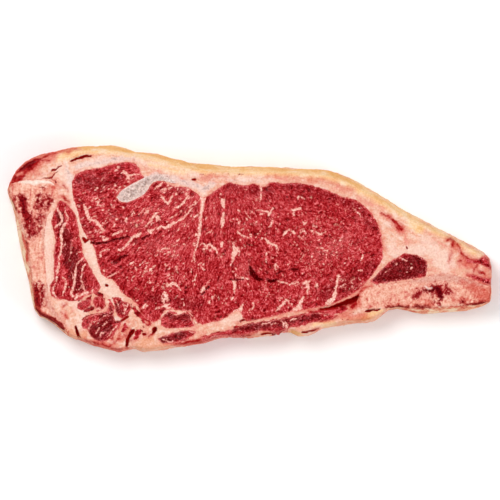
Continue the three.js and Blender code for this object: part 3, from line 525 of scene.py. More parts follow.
# Bone: open marrow, the reddish sponge round it, clean white cartilage, hard bone, the red saw cut and the
# thin skin outside.
MARROW = [
    [(20.6, 197.4, 2.8), (22.6, 201, 4.0), (23.8, 208, 3.2), (25, 214, 2.8), (26.6, 219, 2.4), (27, 225, 1.8),
     (27.6, 229.4, 1.2)],
    [(14.6, 197.6, 0.5), (13.2, 201.6, 0.9)],
    [(19, 205.6, 0.8), (21.6, 211, 0.8)],
    [(29.4, 218.6, 1.1), (31, 221.6, 0.9), (29.6, 225, 0.7)],
    [(31.4, 213.8, 0.7), (30.8, 216, 0.6)],
    [(34, 220, 0.8), (37.4, 219, 0.9), (40, 221, 0.7)],
    [(38.4, 215.6, 0.6), (41, 214.2, 0.8), (43, 215.4, 0.5)],
    [(33.8, 225, 1.0), (35.4, 222.6, 0.6)],
    [(39, 224, 0.8), (41, 226.6, 0.9)],
    [(37.4, 229.6, 0.7), (38.4, 231.8, 0.6)],
    [(32.6, 228.6, 0.7), (34, 231.4, 0.6)],
    [(30, 232.6, 0.8), (32, 235.6, 0.6), (35.2, 234, 0.7)],
    [(28.6, 229.6, 1.1), (28.8, 233, 0.8), (30.4, 237.6, 0.7)],
    [(36, 284, 1.2), (36.6, 292, 2.2), (36.6, 300, 2.8), (37, 309, 2.2)],
    [(42, 286, 0.8), (42.6, 296, 1.2), (42, 304, 1.0)],
    [(414.6, 297.2, 1.2), (417, 295.6, 1.8), (419.4, 293.4, 1.2)],
    [(422.8, 291.6, 1.3), (425.6, 290.6, 1.5), (429, 291, 1.2), (433, 291.6, 1.7)],
    [(432.4, 287, 1.6), (437, 287.4, 2.4), (441.4, 289, 2.4)],
    [(436.6, 291, 2.2), (440, 294, 2.6), (440.8, 298, 1.7)],
    [(445.4, 285.6, 0.8), (447.6, 289.6, 0.9), (446.4, 293.4, 0.8)],
    [(449.8, 288.6, 0.6), (450.6, 291.4, 0.7), (449, 294, 0.6)],
    [(432, 300, 0.7), (434, 300.8, 0.6)],
    [(469, 304.6, 0.6), (476, 304.1, 1.2), (484, 303, 1.1)],
    [(461.4, 302.2, 0.5), (463, 302.8, 0.5)],
    [(439.2, 303, 0.5), (439.6, 306.4, 0.5)],
    [(38, 196.8, 0.9), (40.4, 194.6, 1.0)],
    [(37.6, 199.6, 0.9), (37.6, 203, 0.9)],
    [(41.4, 200, 1.0), (42.4, 202, 1.0)],
    [(40, 204, 1.0), (42.4, 206.4, 1.3)],
    [(36.4, 206.6, 1.0), (37.8, 209.4, 0.9)],
    [(46, 206.6, 0.9), (47, 207.8, 1.0)],
    [(49.6, 199, 1.4), (51.6, 201.4, 1.2)],
    [(49.4, 203, 0.9), (48.6, 205, 0.8)],
    [(43.6, 187.6, 0.8), (44.4, 187, 0.6)],
]
SPONGE = [
    [(22, 198, 5), (25, 212, 6), (31, 222, 8), (34, 231, 7), (33, 239, 3)],
    [(38, 208, 4.4), (45, 200, 5.4), (45, 207, 4), (40, 216, 6)],
    [(38, 288, 4.0), (39, 298, 5.8), (39, 309, 4.8)],
    [(416, 294, 5), (430, 288, 5), (442, 290, 7), (452, 294, 4)],
]
CARTILAGE = [
    [(19, 182.4, 0.8), (26, 182.4, 1.7), (34, 183.4, 2.3), (42, 181.6, 1.6), (50, 181.4, 1.4),
     (55, 185, 0.8)],
    [(424.6, 285.6, 0.8), (427.4, 288.6, 1.0), (431, 287.6, 0.5)],
]
HARD_BONE = [
    [(46, 286, 1.6), (48, 300, 2.4), (53, 311, 2.6), (60, 320, 2.6), (65, 328, 1.6)],
    [(412, 280.6, 1.8), (428, 279, 3.2), (446, 277.6, 4.2), (464, 280, 4.0), (482, 285.6, 2.4)],
    [(46, 214, 1.8), (44, 228, 1.8), (43.4, 250, 1.0)],
]
SAW_EDGE = [
    [(34, 309, 1.8), (42, 314.6, 2.6), (51, 319.8, 3.4), (59, 325.6, 3.0), (65, 332, 1.6)],
    [(7, 188, 1.2), (9.4, 196, 1.4), (12.6, 204, 1.2), (15, 210, 0.8)],
    [(490.4, 292, 0.1), (490.6, 299, 0.3)],
    [(26.4, 240, 0.4), (29, 262, 0.4), (31, 284, 0.5), (33.4, 304, 0.6)],
    [(386, 306.2, 0.8), (396, 306, 1.4), (402, 306.2, 1.4), (408, 307, 0.9)],
    [(413, 306.6, 1.2), (424, 306.8, 1.7), (429, 307.2, 1.0)],
    [(466, 305.2, 0.8), (476, 304.2, 1.7), (490, 302.8, 1.3)],
]
MEMBRANE = [
    [(12.4, 214, 1.4), (17, 232, 3.0), (21, 250, 2.8), (25.6, 268, 2.0), (28.6, 290, 1.2)],
]

# Zones of small flecks of fat in the lean: middle, radii, how many, bounds of their length and half width in
# steps, then their direction and how far it strays, in degrees.
FLECK_ZONES = [
    ((316, 240), (26, 32), 220, (0.2, 1.6), (-0.1, 0.75), 0, 90),
    ((300, 255), (72, 48), 330, (0.2, 1.8), (-0.2, 0.7), 150, 60),
    ((300, 282), (50, 22), 130, (0.2, 1.8), (-0.2, 0.7), 120, 60),
    ((345, 240), (30, 45), 150, (0.2, 1.4), (-0.2, 0.6), 160, 40),
    ((112, 205), (38, 36), 125, (1.2, 4.0), (0.2, 0.9), 35, 25),
    ((165, 200), (30, 22), 60, (1.2, 3.6), (0.2, 0.9), 38, 15),
    ((170, 245), (42, 48), 150, (1.2, 4.4), (0.1, 0.85), 42, 20),
    ((218, 250), (26, 58), 120, (0.6, 3.4), (-0.2, 0.8), 85, 22),
    ((255, 235), (26, 45), 80, (0.4, 2.6), (-0.2, 0.8), 120, 30),
    ((150, 285), (40, 24), 70, (0.8, 3.2), (-0.1, 0.75), 30, 25),
    ((240, 300), (60, 16), 70, (0.6, 2.4), (-0.2, 0.7), 80, 50),
    ((68, 250), (12, 44), 24, (1.0, 3.4), (-0.2, 0.3), 80, 20),
    ((100, 326), (14, 12), 10, (1.0, 4.0), (-0.2, 0.2), 40, 30),
    ((402, 268), (22, 11), 16, (0.2, 1.0), (-0.3, 0.3), 20, 60),
    ((260, 325), (50, 6), 40, (0.6, 3.0), (-0.3, 0.3), 8, 20),
    ((170, 187), (20, 5), 20, (3.0, 7.0), (0.4, 1.0), 50, 12),
    ((350, 284), (14, 9), 24, (2.0, 5.0), (0.0, 0.7), 60, 20),
]

# The eye muscle's fibres fan out from a point above it. The spread turns their angle into a distance across
# them, in millimetres for each radian.
FAN_POINT = (225, 150)
FAN_SPREAD = 60.0
# Which way the fibres of each other tissue run, in degrees.
FIBRE_ANGLES = {
    "chine_muscle": 80, "corner_muscle": 42, "spur_muscle": 60, "notch_muscle": 30, "fork_muscle": 95,
    "under_muscle": 25, "belly_strip": 12, "rib_strip": 10, "rib_muscle": 22, "tip_strip_upper": 5,
    "tip_strip_lower": -12, "feather_bone": 84, "rib_bone": 86, "gristle": 40,
}

# Every distance field: its strokes and how far from them it still counts, in millimetres.
FIELDS = {
    "marbling": (EYE_SEAMS + SMALL_SEAMS, 2.0),
    # Where the clefts' painted shade lies.
    "cleft_shade": ([stroke for _, stroke in CLEFTS], 3.0),
    "shade": (LEAN_SHADE, 8.0),
    "dried": (LEAN_DRIED, 5.0),
    "glow": (LEAN_GLOW, 8.0),
    "amber": (CAP_AMBER, 6.0),
    "honey": (CAP_HONEY, 8.0),
    "blood": (BLOOD, 3.0),
    "blush": (BLUSH, 6.0),
    "sinew": (SINEW, 5.0),
    "beige": (BEIGE, 5.0),
    "scrap": (SCRAPS, 3.0),
    "marrow": (MARROW, 3.0),
    "sponge": (SPONGE, 5.0),
    "cartilage": (CARTILAGE, 4.0),
    "hard_bone": (HARD_BONE, 5.0),
    "saw_edge": (SAW_EDGE, 3.0),
    "membrane": (MEMBRANE, 4.0),
    "pale": (PALE_FAT, 8.0),
}

# The attributes that each material reads: those fields, and what else is worked out for each point.
CHANNELS = {
    "lean": ("marbling", "cleft_shade", "shade", "dried", "glow", "streak", "along", "across", "rim", "below",
             "sunk"),
    "fat": ("cleft_shade", "pale", "amber", "honey", "blood", "blush", "scrap", "sinew", "beige", "streak", "rim",
            "below", "sunk"),
    "bone": ("cleft_shade", "marrow", "sponge", "cartilage", "hard_bone", "saw_edge", "membrane", "blush", "beige",
             "streak", "below", "sunk"),
    "gristle": ("streak", "rim", "sunk"),
}

# Layers of noise: strength, size of the features in millimetres, and seed.
BORDER_WOBBLE = ((0.28, 1.9, 11), (0.18, 0.95, 12))
FIBRE_BEND = ((1.6, 7.0, 13), (0.5, 2.6, 14))
FIBRE_TURN = ((0.45, 7.0, 13), (0.3, 2.6, 14))
FIBRE_GRAINS = ((1, 1.2, 15),)
SLOW_LUMPS = ((1, 6.5, 21), (0.6, 2.8, 22))
RIPPLE = ((1, 1.3, 23),)
STROKE_BENDS = (((0.5, 2.4, 31), (0.2, 1.1, 33)), ((0.5, 2.4, 32), (0.2, 1.1, 34)))
REST_LUMPS = ((0.12, 3.2, 41), (0.05, 1.4, 42))
WALL_LUMPS = ((1, 4.2, 51), (0.5, 1.9, 52), (0.3, 0.9, 53))
DRIFTS = ((3.6, 6.0, 61), (3.6, 6.0, 62))


# Settings


def linear(hex_colour):
    """An sRGB hex colour as linear red, green and blue, by the standard's curve."""
    parts = [int(hex_colour[i:i + 2], 16) / 255 for i in (1, 3, 5)]
    return tuple(c / 12.92 if c <= 0.04045 else ((c + 0.055) / 1.055) ** 2.4 for c in parts)


def colour_property(name, description, hex_colour):
    """A colour setting with a default in hex."""
    return FloatVectorProperty(
        name=name, description=description, default=linear(hex_colour), subtype="COLOR", min=0, max=1)


def length_property(name, description, millimetres):
    """A length setting with a default in millimetres."""
    return FloatProperty(name=name, description=description, default=millimetres * MM, unit="LENGTH")


class ChopSizes(bpy.types.PropertyGroup):
    """Sizes of the modelled surfaces."""
    grid: length_property("Grid spacing", "Distance between the points of the cut face", 0.5)
    edge_round: length_property("Edge rounding", "Radius where the cut face turns into the wall", 0.8)
    seam_dip: length_property("Seam dip", "Depth of the furrow where two tissues meet", 0.16)
    fibre_relief: length_property("Fibre relief", "Height of the bundles of fibres in the lean", 0.11)
    lump_relief: length_property("Lump relief", "Height of the slow lumps in lean and fat", 0.22)
    wall_relief: length_property("Wall relief", "Depth of the lumps in the outer wall", 0.45)
    seed: IntProperty(name="Seed", description="Start of every random draw", default=7)


class LeanColours(bpy.types.PropertyGroup):
    """Colours of raw lean beef."""
    deep: colour_property("Deep", "Shadowed fibres", "#7A080D")
    dark: colour_property("Dark", "Dark fibres", "#A31B22")
    middle: colour_property("Middle", "The main red", "#C53A40")
    light: colour_property("Light", "Fibres that catch the light", "#EC7677")
    film: colour_property("Film", "The thinnest fat between the fibres", "#EA8079")
    marbling: colour_property("Marbling", "Fat between the fibres", "#FAC7B8")
    shade: colour_property("Shade", "Darker stretches of the large muscle", "#86121A")
    dried: colour_property("Dried", "Small muscles that have darkened", "#6E0B10")
    # Painted shade: the deep red laid inside splits in the lean.
    cleft_shade: colour_property("Cleft", "The inside of a split", "#6A0004")
    skin: colour_property("Skin", "Thin fat that clings to the chop's side", "#EFB8A0")


class FatColours(bpy.types.PropertyGroup):
    """Colours of raw fat."""
    cream: colour_property("Cream", "The main colour", "#F1B89F")
    pale: colour_property("Pale", "Clean light fat", "#FBD7C7")
    rose: colour_property("Rose", "Pink fat beside the lean", "#EE9F8E")
    honey: colour_property("Honey", "Yellowish fat of the cap", "#FCD09B")
    amber: colour_property("Amber", "Dried skin of the cap", "#EFB069")
    butter: colour_property("Butter", "The lightest fat under the cap's skin", "#FFDFBB")
    blush: colour_property("Blush", "Fat that blood has tinted", "#DF7261")
    blood: colour_property("Blood", "Pooled blood", "#AE0C14")
    sinew: colour_property("Sinew", "Half-clear connective tissue", "#F1D2C8")
    specks: colour_property("Specks", "Grey specks in the connective tissue", "#B28C88")
    beige: colour_property("Beige", "Skin of the lower edge", "#EDA280")
    clot: colour_property("Clot", "The dark middle of pooled blood", "#740008")
    stain: colour_property("Stain", "Fat that blood has soaked into", "#D9574E")
    scrap: colour_property("Scrap", "Lean that clings to the fat's border", "#B5383A")
    # Painted shade: the dark red laid inside splits in the fat.
    cleft_shade: colour_property("Cleft", "The inside of a split", "#960A08")


class BoneColours(bpy.types.PropertyGroup):
    """Colours of sawn bone and gristle."""
    bone: colour_property("Bone", "The main colour", "#F1AE98")
    light: colour_property("Light", "Bone between its pores", "#F9C9B4")
    sponge: colour_property("Sponge", "Spongy bone filled with blood", "#DA746A")
    pores: colour_property("Pores", "Pores of the sponge that hold blood", "#AE3236")
    marrow: colour_property("Marrow", "Open marrow", "#98161B")
    core: colour_property("Core", "The darkest marrow", "#6B0410")
    cartilage: colour_property("Cartilage", "White cartilage", "#FBE6D8")
    hard: colour_property("Hard bone", "Dense bone of the rim", "#E0A596")
    saw: colour_property("Saw cut", "Blood dragged along the sawn edge", "#86191C")
    membrane: colour_property("Membrane", "Thin skin outside the bone", "#FBDDBD")
    rind: colour_property("Rind", "Dried skin on the bone's side", "#F0A88A")
    blush: colour_property("Blush", "Bone that blood has tinted", "#D65A4B")
    gristle: colour_property("Gristle", "The main colour of gristle", "#CDB1A9")
    gristle_dark: colour_property("Dark gristle", "Its greyer grains", "#9C8780")
    gristle_light: colour_property("Light gristle", "Its milky streaks", "#EED3CA")


class StageSettings(bpy.types.PropertyGroup):
    """Floor, lights and camera."""
    lens: FloatProperty(
        name="Lens", description="Focal length, long because the view is nearly parallel",
        default=1000, subtype="DISTANCE_CAMERA")
    sky: FloatProperty(
        name="Sky", description="Strength of the even light from all round", default=0.76, subtype="FACTOR")
    zenith: FloatProperty(
        name="Zenith", description="The same straight overhead, dark so that flat wet meat shows its colour",
        default=0.05, subtype="FACTOR")
    key: FloatProperty(
        name="Key light", description="Power of the large light at the upper left", default=7.2, unit="POWER")
    fill: FloatProperty(
        name="Fill light", description="Power of the light at the right", default=2.8, unit="POWER")
    floor: colour_property("Floor", "Colour of the floor", "#FEFEFE")


# Plane geometry


def to_segment(x, y, start_x, start_y, end_x, end_y):
    """Distance from points to a segment, and how far along it the nearest place lies, from 0 to 1.

    Each point is dropped on to the segment's line and the foot is held between the ends.
    """
    run_x, run_y = end_x - start_x, end_y - start_y
    squared = np.maximum(run_x * run_x + run_y * run_y, TINY)
    along = np.clip(((x - start_x) * run_x + (y - start_y) * run_y) / squared, 0, 1)
    return np.hypot(x - start_x - along * run_x, y - start_y - along * run_y), along


def nearest(x, y, segments):
    """Distance from each point to the nearest of some segments, given as rows of start and end."""
    best = np.full(x.shape, np.inf)
    for segment in segments:
        best = np.minimum(best, to_segment(x, y, *segment)[0])
    return best


def traced(stroke):
    """A stroke's points in millimetres: right of the chop's middle, above it, and the half width."""
    x, y, half = np.array(stroke, float).T
    return np.column_stack(((x - TRACE_MIDDLE[0]) * STEP, (TRACE_MIDDLE[1] - y) * STEP, half * STEP))


def traced_place(point):
    """One point of the tracing grid in millimetres, as for a stroke."""
    return traced([(*point, 0)])[0, :2]


def stroke_field(x, y, strokes, reach):
    """Signed distance in millimetres to a set of tapered strokes, negative inside them and at most reach.

    Between two points of a stroke its half width runs evenly from one to the other, and is taken off the
    distance to the line between them.
    """
    field = np.full(x.shape, float(reach))
    for stroke in strokes:
        knots = traced(stroke)
        margin = reach + knots[:, 2].max()
        low, high = knots.min(0) - margin, knots.max(0) + margin
        close = np.nonzero((x > low[0]) & (x < high[0]) & (y > low[1]) & (y < high[1]))
        best = field[close]
        for (ax, ay, a_half), (bx, by, b_half) in zip(knots[:-1], knots[1:]):
            distance, along = to_segment(x[close], y[close], ax, ay, bx, by)
            best = np.minimum(best, distance - a_half - along * (b_half - a_half))
        field[close] = best
    return field


def smooth(value, low, high):
    """0 below low, 1 above high, and an S-shaped curve between them."""
    t = np.clip((value - low) / (high - low), 0, 1)
    return t * t * (3 - 2 * t)


# Steps of the noise's lattice, after which it repeats.
LATTICE = 64


def noise(x, y, z, size, seed):
    """Value noise from -1 to 1: random numbers on a lattice of that size, blended by S-shaped weights."""
    lattice = np.random.default_rng(seed).uniform(-1, 1, (LATTICE, LATTICE, LATTICE))
    whole, part = [], []
    for axis in (x, y, z):
        place = np.broadcast_to(axis, x.shape) / size
        floor = np.floor(place).astype(int)
        whole.append(floor)
        part.append(smooth(place - floor, 0, 1))
    total = 0
    for corner in np.ndindex(2, 2, 2):
        weight = np.prod([p if c else 1 - p for c, p in zip(corner, part)], axis=0)
        index = tuple((w + c) % LATTICE for w, c in zip(whole, corner))
        total = total + weight * lattice[index]
    return total


def noises(x, y, z, layers):
    """The sum of layers of noise, each times its strength, as in BORDER_WOBBLE."""
    return sum(strength * noise(x, y, z, size, seed) for strength, size, seed in layers)


# An index this far below an array's length still has the array's next place above it.
END_MARGIN = 1.001


class Grid:
    """A square grid over the chop as seen from above, in millimetres. A field on it is an array of rows."""

    def __init__(self, spacing):
        self.spacing = spacing
        low, high = CAD_LOW[:2] - GRID_MARGIN, CAD_HIGH[:2] + GRID_MARGIN
        self.xs = np.arange(low[0], high[0], spacing)
        self.ys = np.arange(low[1], high[1], spacing)
        self.x, self.y = np.meshgrid(self.xs, self.ys)

    def read(self, field, x, y):
        """The field between its points: the four round each place, weighted by how near they are."""
        column = np.clip((x - self.xs[0]) / self.spacing, 0, len(self.xs) - END_MARGIN)
        row = np.clip((y - self.ys[0]) / self.spacing, 0, len(self.ys) - END_MARGIN)
        i, j = column.astype(int), row.astype(int)
        u, v = column - i, row - j
        low = field[j, i] * (1 - u) + field[j, i + 1] * u
        high = field[j + 1, i] * (1 - u) + field[j + 1, i + 1] * u
        return low * (1 - v) + high * v

    def noises(self, layers):
        """Layers of noise over the whole grid."""
        return noises(self.x, self.y, 0, layers)

    def slope(self, field):
        """How fast the field rises along x and along y."""
        along_y, along_x = np.gradient(field, self.spacing)
        return along_x, along_y

    def blur(self, field, size):
        """The field averaged with Gaussian weights of that size, as a product of spectra."""
        fx = np.fft.rfftfreq(field.shape[1], self.spacing)
        fy = np.fft.fftfreq(field.shape[0], self.spacing)[:, None]
        spectrum = np.exp(-2 * (math.pi * size) ** 2 * (fx ** 2 + fy ** 2))
        return np.fft.irfft2(np.fft.rfft2(field) * spectrum, field.shape)

    def inside(self, segments):
        """Which points lie inside closed sections: along each row, an odd count of crossings to the left."""
        start_x, start_y, end_x, end_y = segments.T
        rows = self.ys[:, None]
        crossed = (rows >= np.minimum(start_y, end_y)) & (rows < np.maximum(start_y, end_y))
        row, which = np.nonzero(crossed)
        part = (self.ys[row] - start_y[which]) / (end_y - start_y)[which]
        column = np.searchsorted(self.xs, start_x[which] + part * (end_x - start_x)[which])
        count = np.zeros((len(self.ys), len(self.xs) + 1), int)
        np.add.at(count, (row, column), 1)
        return np.cumsum(count, axis=1)[:, :-1] % 2 == 1


# Sections of the solids


@functools.lru_cache(maxsize=None)
def triangles(node):
    """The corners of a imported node's triangles, in millimetres."""
    mesh = frame["nodes"][node].data
    points = np.empty(len(mesh.vertices) * 3)
    mesh.vertices.foreach_get("co", points)
    mesh.calc_loop_triangles()
    corners = np.empty(len(mesh.loop_triangles) * 3, np.int32)
    mesh.loop_triangles.foreach_get("vertices", corners)
    return points.reshape(-1, 3)[corners].reshape(-1, 3, 3) / MM


def section(node, height):
    """The segments in which a level plane cuts a node.

    In each triangle that the plane cuts, one corner lies alone on its side. The segment joins the crossings
    of the two edges that leave this corner.
    """
    faces = triangles(node)
    above = faces[:, :, 2] > height
    cut = above.any(1) & ~above.all(1)
    faces, above = faces[cut], above[cut]
    alone = np.where(above.sum(1) == 1, above.argmax(1), (~above).argmax(1))
    rows = np.arange(len(faces))
    apex = faces[rows, alone]
    ends = []
    for turn in (1, 2):
        other = faces[rows, (alone + turn) % 3]
        part = (height - apex[:, 2]) / (other[:, 2] - apex[:, 2])
        ends.append(apex[:, :2] + part[:, None] * (other - apex)[:, :2])
    return np.hstack(ends)


def outer_edge(height):
    """The sections of every node at a height, less what faces another node across a seam."""
    cuts = [section(name, height) for name in NAMES]
    owner = np.repeat(np.arange(len(cuts)), [len(cut) for cut in cuts])
    rows = np.vstack(cuts)
    middle_x, middle_y = (rows[:, 0] + rows[:, 2]) / 2, (rows[:, 1] + rows[:, 3]) / 2
    distance = to_segment(middle_x[:, None], middle_y[:, None], *rows.T)[0]
    distance[owner[:, None] == owner] = np.inf
    return rows[distance.min(1) > 2 * SEAM_GAP]


def spread(mask, times):
    """The mask grown by that many grid steps."""
    for _ in range(times):
        mask = mask | np.roll(mask, 1, 0) | np.roll(mask, -1, 0) | np.roll(mask, 1, 1) | np.roll(mask, -1, 1)
    return mask


def closed(mask, times):
    """The mask with gaps narrower than twice that many grid steps filled in."""
    return ~spread(~spread(mask, times), times)


def reached(free):
    """The free points that steps over free points join to the grid's corner."""
    found = np.zeros(free.shape, bool)
    found[0, 0] = True
    size = 0
    while found.sum() > size:
        size = found.sum()
        found = spread(found, 1) & free
    return found


# The cut face


def slot_field(fields, *slots):
    """Signed distance to the nearest tissue of some material slots."""
    return np.min([field for field, name in zip(fields, NAMES) if SLOTS[name] in slots], axis=0)


# Half the width in millimetres of the slots that are filled in: those cut into a node, and those in the outer
# edge. A line of a section that lies this many grid steps inside a filled node isn't its border.
NODE_SLOT = 1.5
EDGE_SLOT = 1.3
CORE_STEPS = 2


def tissue_fields(grid):
    """For each node, the signed distance to its border at the cut face, 0 half way across a seam.

    The fat is the ground that the others lie in, so its field is 0 everywhere. A slot that is cut into a node
    is filled in first, and the borders that end up well inside the node are left out. Noise then moves every
    border a little.
    """
    fields = np.full((len(NAMES), *grid.x.shape), WALL_REACH)
    fields[NAMES.index(GROUND)] = 0
    slot = math.ceil(NODE_SLOT / grid.spacing)
    for field, name in zip(fields, NAMES[:-1]):
        rows = section(name, FACE_LEVEL)
        whole = closed(grid.inside(rows), slot)
        core = (~spread(~whole, CORE_STEPS)).astype(float)
        rows = rows[grid.read(core, (rows[:, 0] + rows[:, 2]) / 2, (rows[:, 1] + rows[:, 3]) / 2) < 1]
        low = np.minimum(rows[:, :2], rows[:, 2:]).min(0) - WALL_REACH
        high = np.maximum(rows[:, :2], rows[:, 2:]).max(0) + WALL_REACH
        i, j = np.searchsorted(grid.xs, (low[0], high[0])), np.searchsorted(grid.ys, (low[1], high[1]))
        window = (slice(*j), slice(*i))
        distance = nearest(grid.x[window], grid.y[window], rows)
        field[window] = np.minimum(np.where(whole[window], -distance, distance) - SEAM_GAP / 2, WALL_REACH)
    fields[:-1] += grid.noises(BORDER_WOBBLE)
    return fields


def outline_fields(grid):
    """Signed distance to the chop's outer edge at each wall level, negative inside and in closed holes."""
    slot = math.ceil(EDGE_SLOT / grid.spacing)
    fields = []
    near = None
    for height in reversed(WALL_LEVELS):
        solid = np.any([grid.inside(section(name, height)) for name in NAMES], axis=0)
        solid = ~reached(~closed(solid, slot))
        field = np.full(grid.x.shape, WALL_REACH)
        places = np.ones(grid.x.shape, bool) if near is None else near
        field[places] = np.minimum(nearest(grid.x[places], grid.y[places], outer_edge(height)), WALL_REACH)
        field = np.where(solid, -field, field)
        near = np.abs(field) < WALL_REACH if near is None else near
        fields.append(field)
    return fields[::-1]


# Rounds that join cells which touch only at a corner. It ends sooner once there are none.
JOIN_ROUNDS = 12


def share_out(fields, outer):
    """The tissue that each cell of the grid belongs to, and OUTSIDE beyond the edge.

    It is the one with the least field in the cell's middle. Where two cells of one tissue touch only at a
    corner, a third cell joins them.
    """
    def middles(field):
        """The field in the middle of each cell."""
        return (field[..., :-1, :-1] + field[..., 1:, :-1] + field[..., :-1, 1:] + field[..., 1:, 1:]) / 4

    labels = np.where(middles(outer) > 0, OUTSIDE, middles(fields).argmin(0))
    for _ in range(JOIN_ROUNDS):
        a, b, c, d = labels[:-1, :-1], labels[:-1, 1:], labels[1:, :-1], labels[1:, 1:]
        rising = (a == d) & (b != a) & (c != a)
        falling = (b == c) & (a != b) & (d != b) & ~rising
        if not (rising | falling).any():
            break
        labels[:-1, 1:][rising] = a[rising]
        labels[:-1, :-1][falling] = b[falling]
    return labels


def around(labels):
    """The four cells round each grid point, with OUTSIDE beyond the grid."""
    padded = np.pad(labels, 1, constant_values=OUTSIDE)
    return np.stack((padded[:-1, :-1], padded[:-1, 1:], padded[1:, :-1], padded[1:, 1:]))


# How grid points move on to a border: the rounds, the least squared slope, and the furthest in grid steps.
SNAP_ROUNDS = 2
LEAST_SLOPE = 0.25
SNAP_STEPS = 0.75
# How many grid steps round a border are evened out afterwards, and in how many rounds.
LOOSE_STEPS = 3
LOOSE_ROUNDS = 4


def snapped(grid, fields, outer, cells):
    """Grid points moved on to the borders between tissues, and the points near them evened out.

    A border of two tissues is where their fields are equal, and the outer edge is where its distance is 0.
    Each border point moves along the slope of that difference, by the difference over the slope's length.
    Each point near a border then moves to the mean of its four neighbours.
    """
    low, high = cells.min(0), cells.max(0)
    border = low != high
    pair = border & ((cells == low) | (cells == high)).all(0)
    edge = high == OUTSIDE
    safe = np.minimum(high, OUTSIDE - 1)
    rows, columns = np.nonzero(pair | (border & edge))
    x, y = grid.x.copy(), grid.y.copy()
    slopes = [grid.slope(field) for field in fields]
    outer_slope = grid.slope(outer)
    px, py = x[rows, columns], y[rows, columns]
    a, b, on_edge = low[rows, columns], safe[rows, columns], edge[rows, columns]

    def difference(read):
        """What is read for a point's first tissue less that for its second, or that for the outer edge."""
        value = np.zeros(len(rows))
        for index in range(len(NAMES)):
            value = value + np.where((a == index) & ~on_edge, read(index), 0)
            value = value - np.where((b == index) & ~on_edge, read(index), 0)
        return np.where(on_edge, read(None), value)

    for _ in range(SNAP_ROUNDS):
        gap = difference(lambda k: grid.read(outer if k is None else fields[k], px, py))
        gx = difference(lambda k: grid.read(outer_slope[0] if k is None else slopes[k][0], px, py))
        gy = difference(lambda k: grid.read(outer_slope[1] if k is None else slopes[k][1], px, py))
        squared = np.maximum(gx * gx + gy * gy, LEAST_SLOPE)
        px, py = px - gap * gx / squared, py - gap * gy / squared
    limit = SNAP_STEPS * grid.spacing
    moved_x = np.clip(px - x[rows, columns], -limit, limit)
    moved_y = np.clip(py - y[rows, columns], -limit, limit)
    x[rows, columns] += moved_x
    y[rows, columns] += moved_y
    loose = spread(border, LOOSE_STEPS) & ~border
    for _ in range(LOOSE_ROUNDS):
        for values in (x, y):
            total = sum(np.roll(values, *turn) for turn in ((1, 0), (-1, 0), (1, 1), (-1, 1)))
            values[loose] = total[loose] / 4
    return x, y


# How far the heights of the solids' triangles are averaged, in millimetres.
HEIGHT_BLUR = 2.4


def solid_height(grid):
    """The height of the solids' cut face: the middles of their upward triangles, blurred by area."""
    total, weight = np.zeros(grid.x.shape), np.zeros(grid.x.shape)
    for name in NAMES:
        faces = triangles(name)
        normal = np.cross(faces[:, 1] - faces[:, 0], faces[:, 2] - faces[:, 0]) / 2
        middle = faces.mean(1)
        top = (normal[:, 2] > 0) & (middle[:, 2] > FACE_LEVEL)
        i = np.rint((middle[top, 0] - grid.xs[0]) / grid.spacing).astype(int)
        j = np.rint((middle[top, 1] - grid.ys[0]) / grid.spacing).astype(int)
        np.add.at(weight, (j, i), normal[top, 2])
        np.add.at(total, (j, i), normal[top, 2] * middle[top, 2])
    return grid.blur(total, HEIGHT_BLUR) / np.maximum(grid.blur(weight, HEIGHT_BLUR), SMALL)


# Between these places along x, in millimetres, the eye muscle's bundles of fibres give way to grains.
BLUNT_END = (-25, 25)
# Half the length of a streak in fat, in long bundles of lean, and how much shorter it is among grains.
FAT_STREAK = 2.2
LEAN_STREAK = 1.5
GRAIN_STREAK = 1.0


def fibre_places(grid, fields):
    """How far along its fibre and how far across the fibres each point lies, in millimetres.

    In the eye muscle the fibres fan out from one place above it, and elsewhere they run straight at the
    tissue's own angle. Noise bends them, and towards the eye muscle's blunt end it breaks them into grains.
    """
    fan_x, fan_y = traced_place(FAN_POINT)
    away_x, away_y = grid.x - fan_x, grid.y - fan_y
    along = np.hypot(away_x, away_y)
    across = FAN_SPREAD * np.arctan2(away_x, -away_y)
    for name, degrees in FIBRE_ANGLES.items():
        inside = fields[NAMES.index(name)] < 0
        cos, sin = math.cos(math.radians(degrees)), math.sin(math.radians(degrees))
        along = np.where(inside, grid.x * cos + grid.y * sin, along)
        across = np.where(inside, grid.y * cos - grid.x * sin, across)
    grains = smooth(grid.x, *BLUNT_END) * grid.noises(FIBRE_GRAINS)
    return along, across + grid.noises(FIBRE_BEND) + grains


def fibre_directions(grid, fields, outer):
    """The way that each tissue's fibres run, as unit steps along x and y, and half the length of a streak.

    In the eye muscle they point at one place above it, turned a little by noise. In the fat they follow the
    outer edge, at right angles to its slope, and elsewhere they run at the tissue's own angle.
    """
    fan_x, fan_y = traced_place(FAN_POINT)
    angle = np.arctan2(fan_y - grid.y, fan_x - grid.x)
    across_x, across_y = grid.slope(outer)
    angle += grid.noises(FIBRE_TURN)
    in_fat = fields.argmin(0) == NAMES.index(GROUND)
    angle = np.where(in_fat, np.arctan2(across_x, -across_y), angle)
    for name, degrees in FIBRE_ANGLES.items():
        angle = np.where(fields[NAMES.index(name)] < 0, math.radians(degrees), angle)
    length = np.where(in_fat, FAT_STREAK, LEAN_STREAK - GRAIN_STREAK * smooth(grid.x, *BLUNT_END))
    return np.cos(angle), np.sin(angle), length


# How wide streaks are, how many places along each are averaged, and how far round a point their strength is
# evened out. Widths are in millimetres.
STREAK_WIDTH = 0.25
STREAK_PLACES = 13
STREAK_EVENING = 4.0


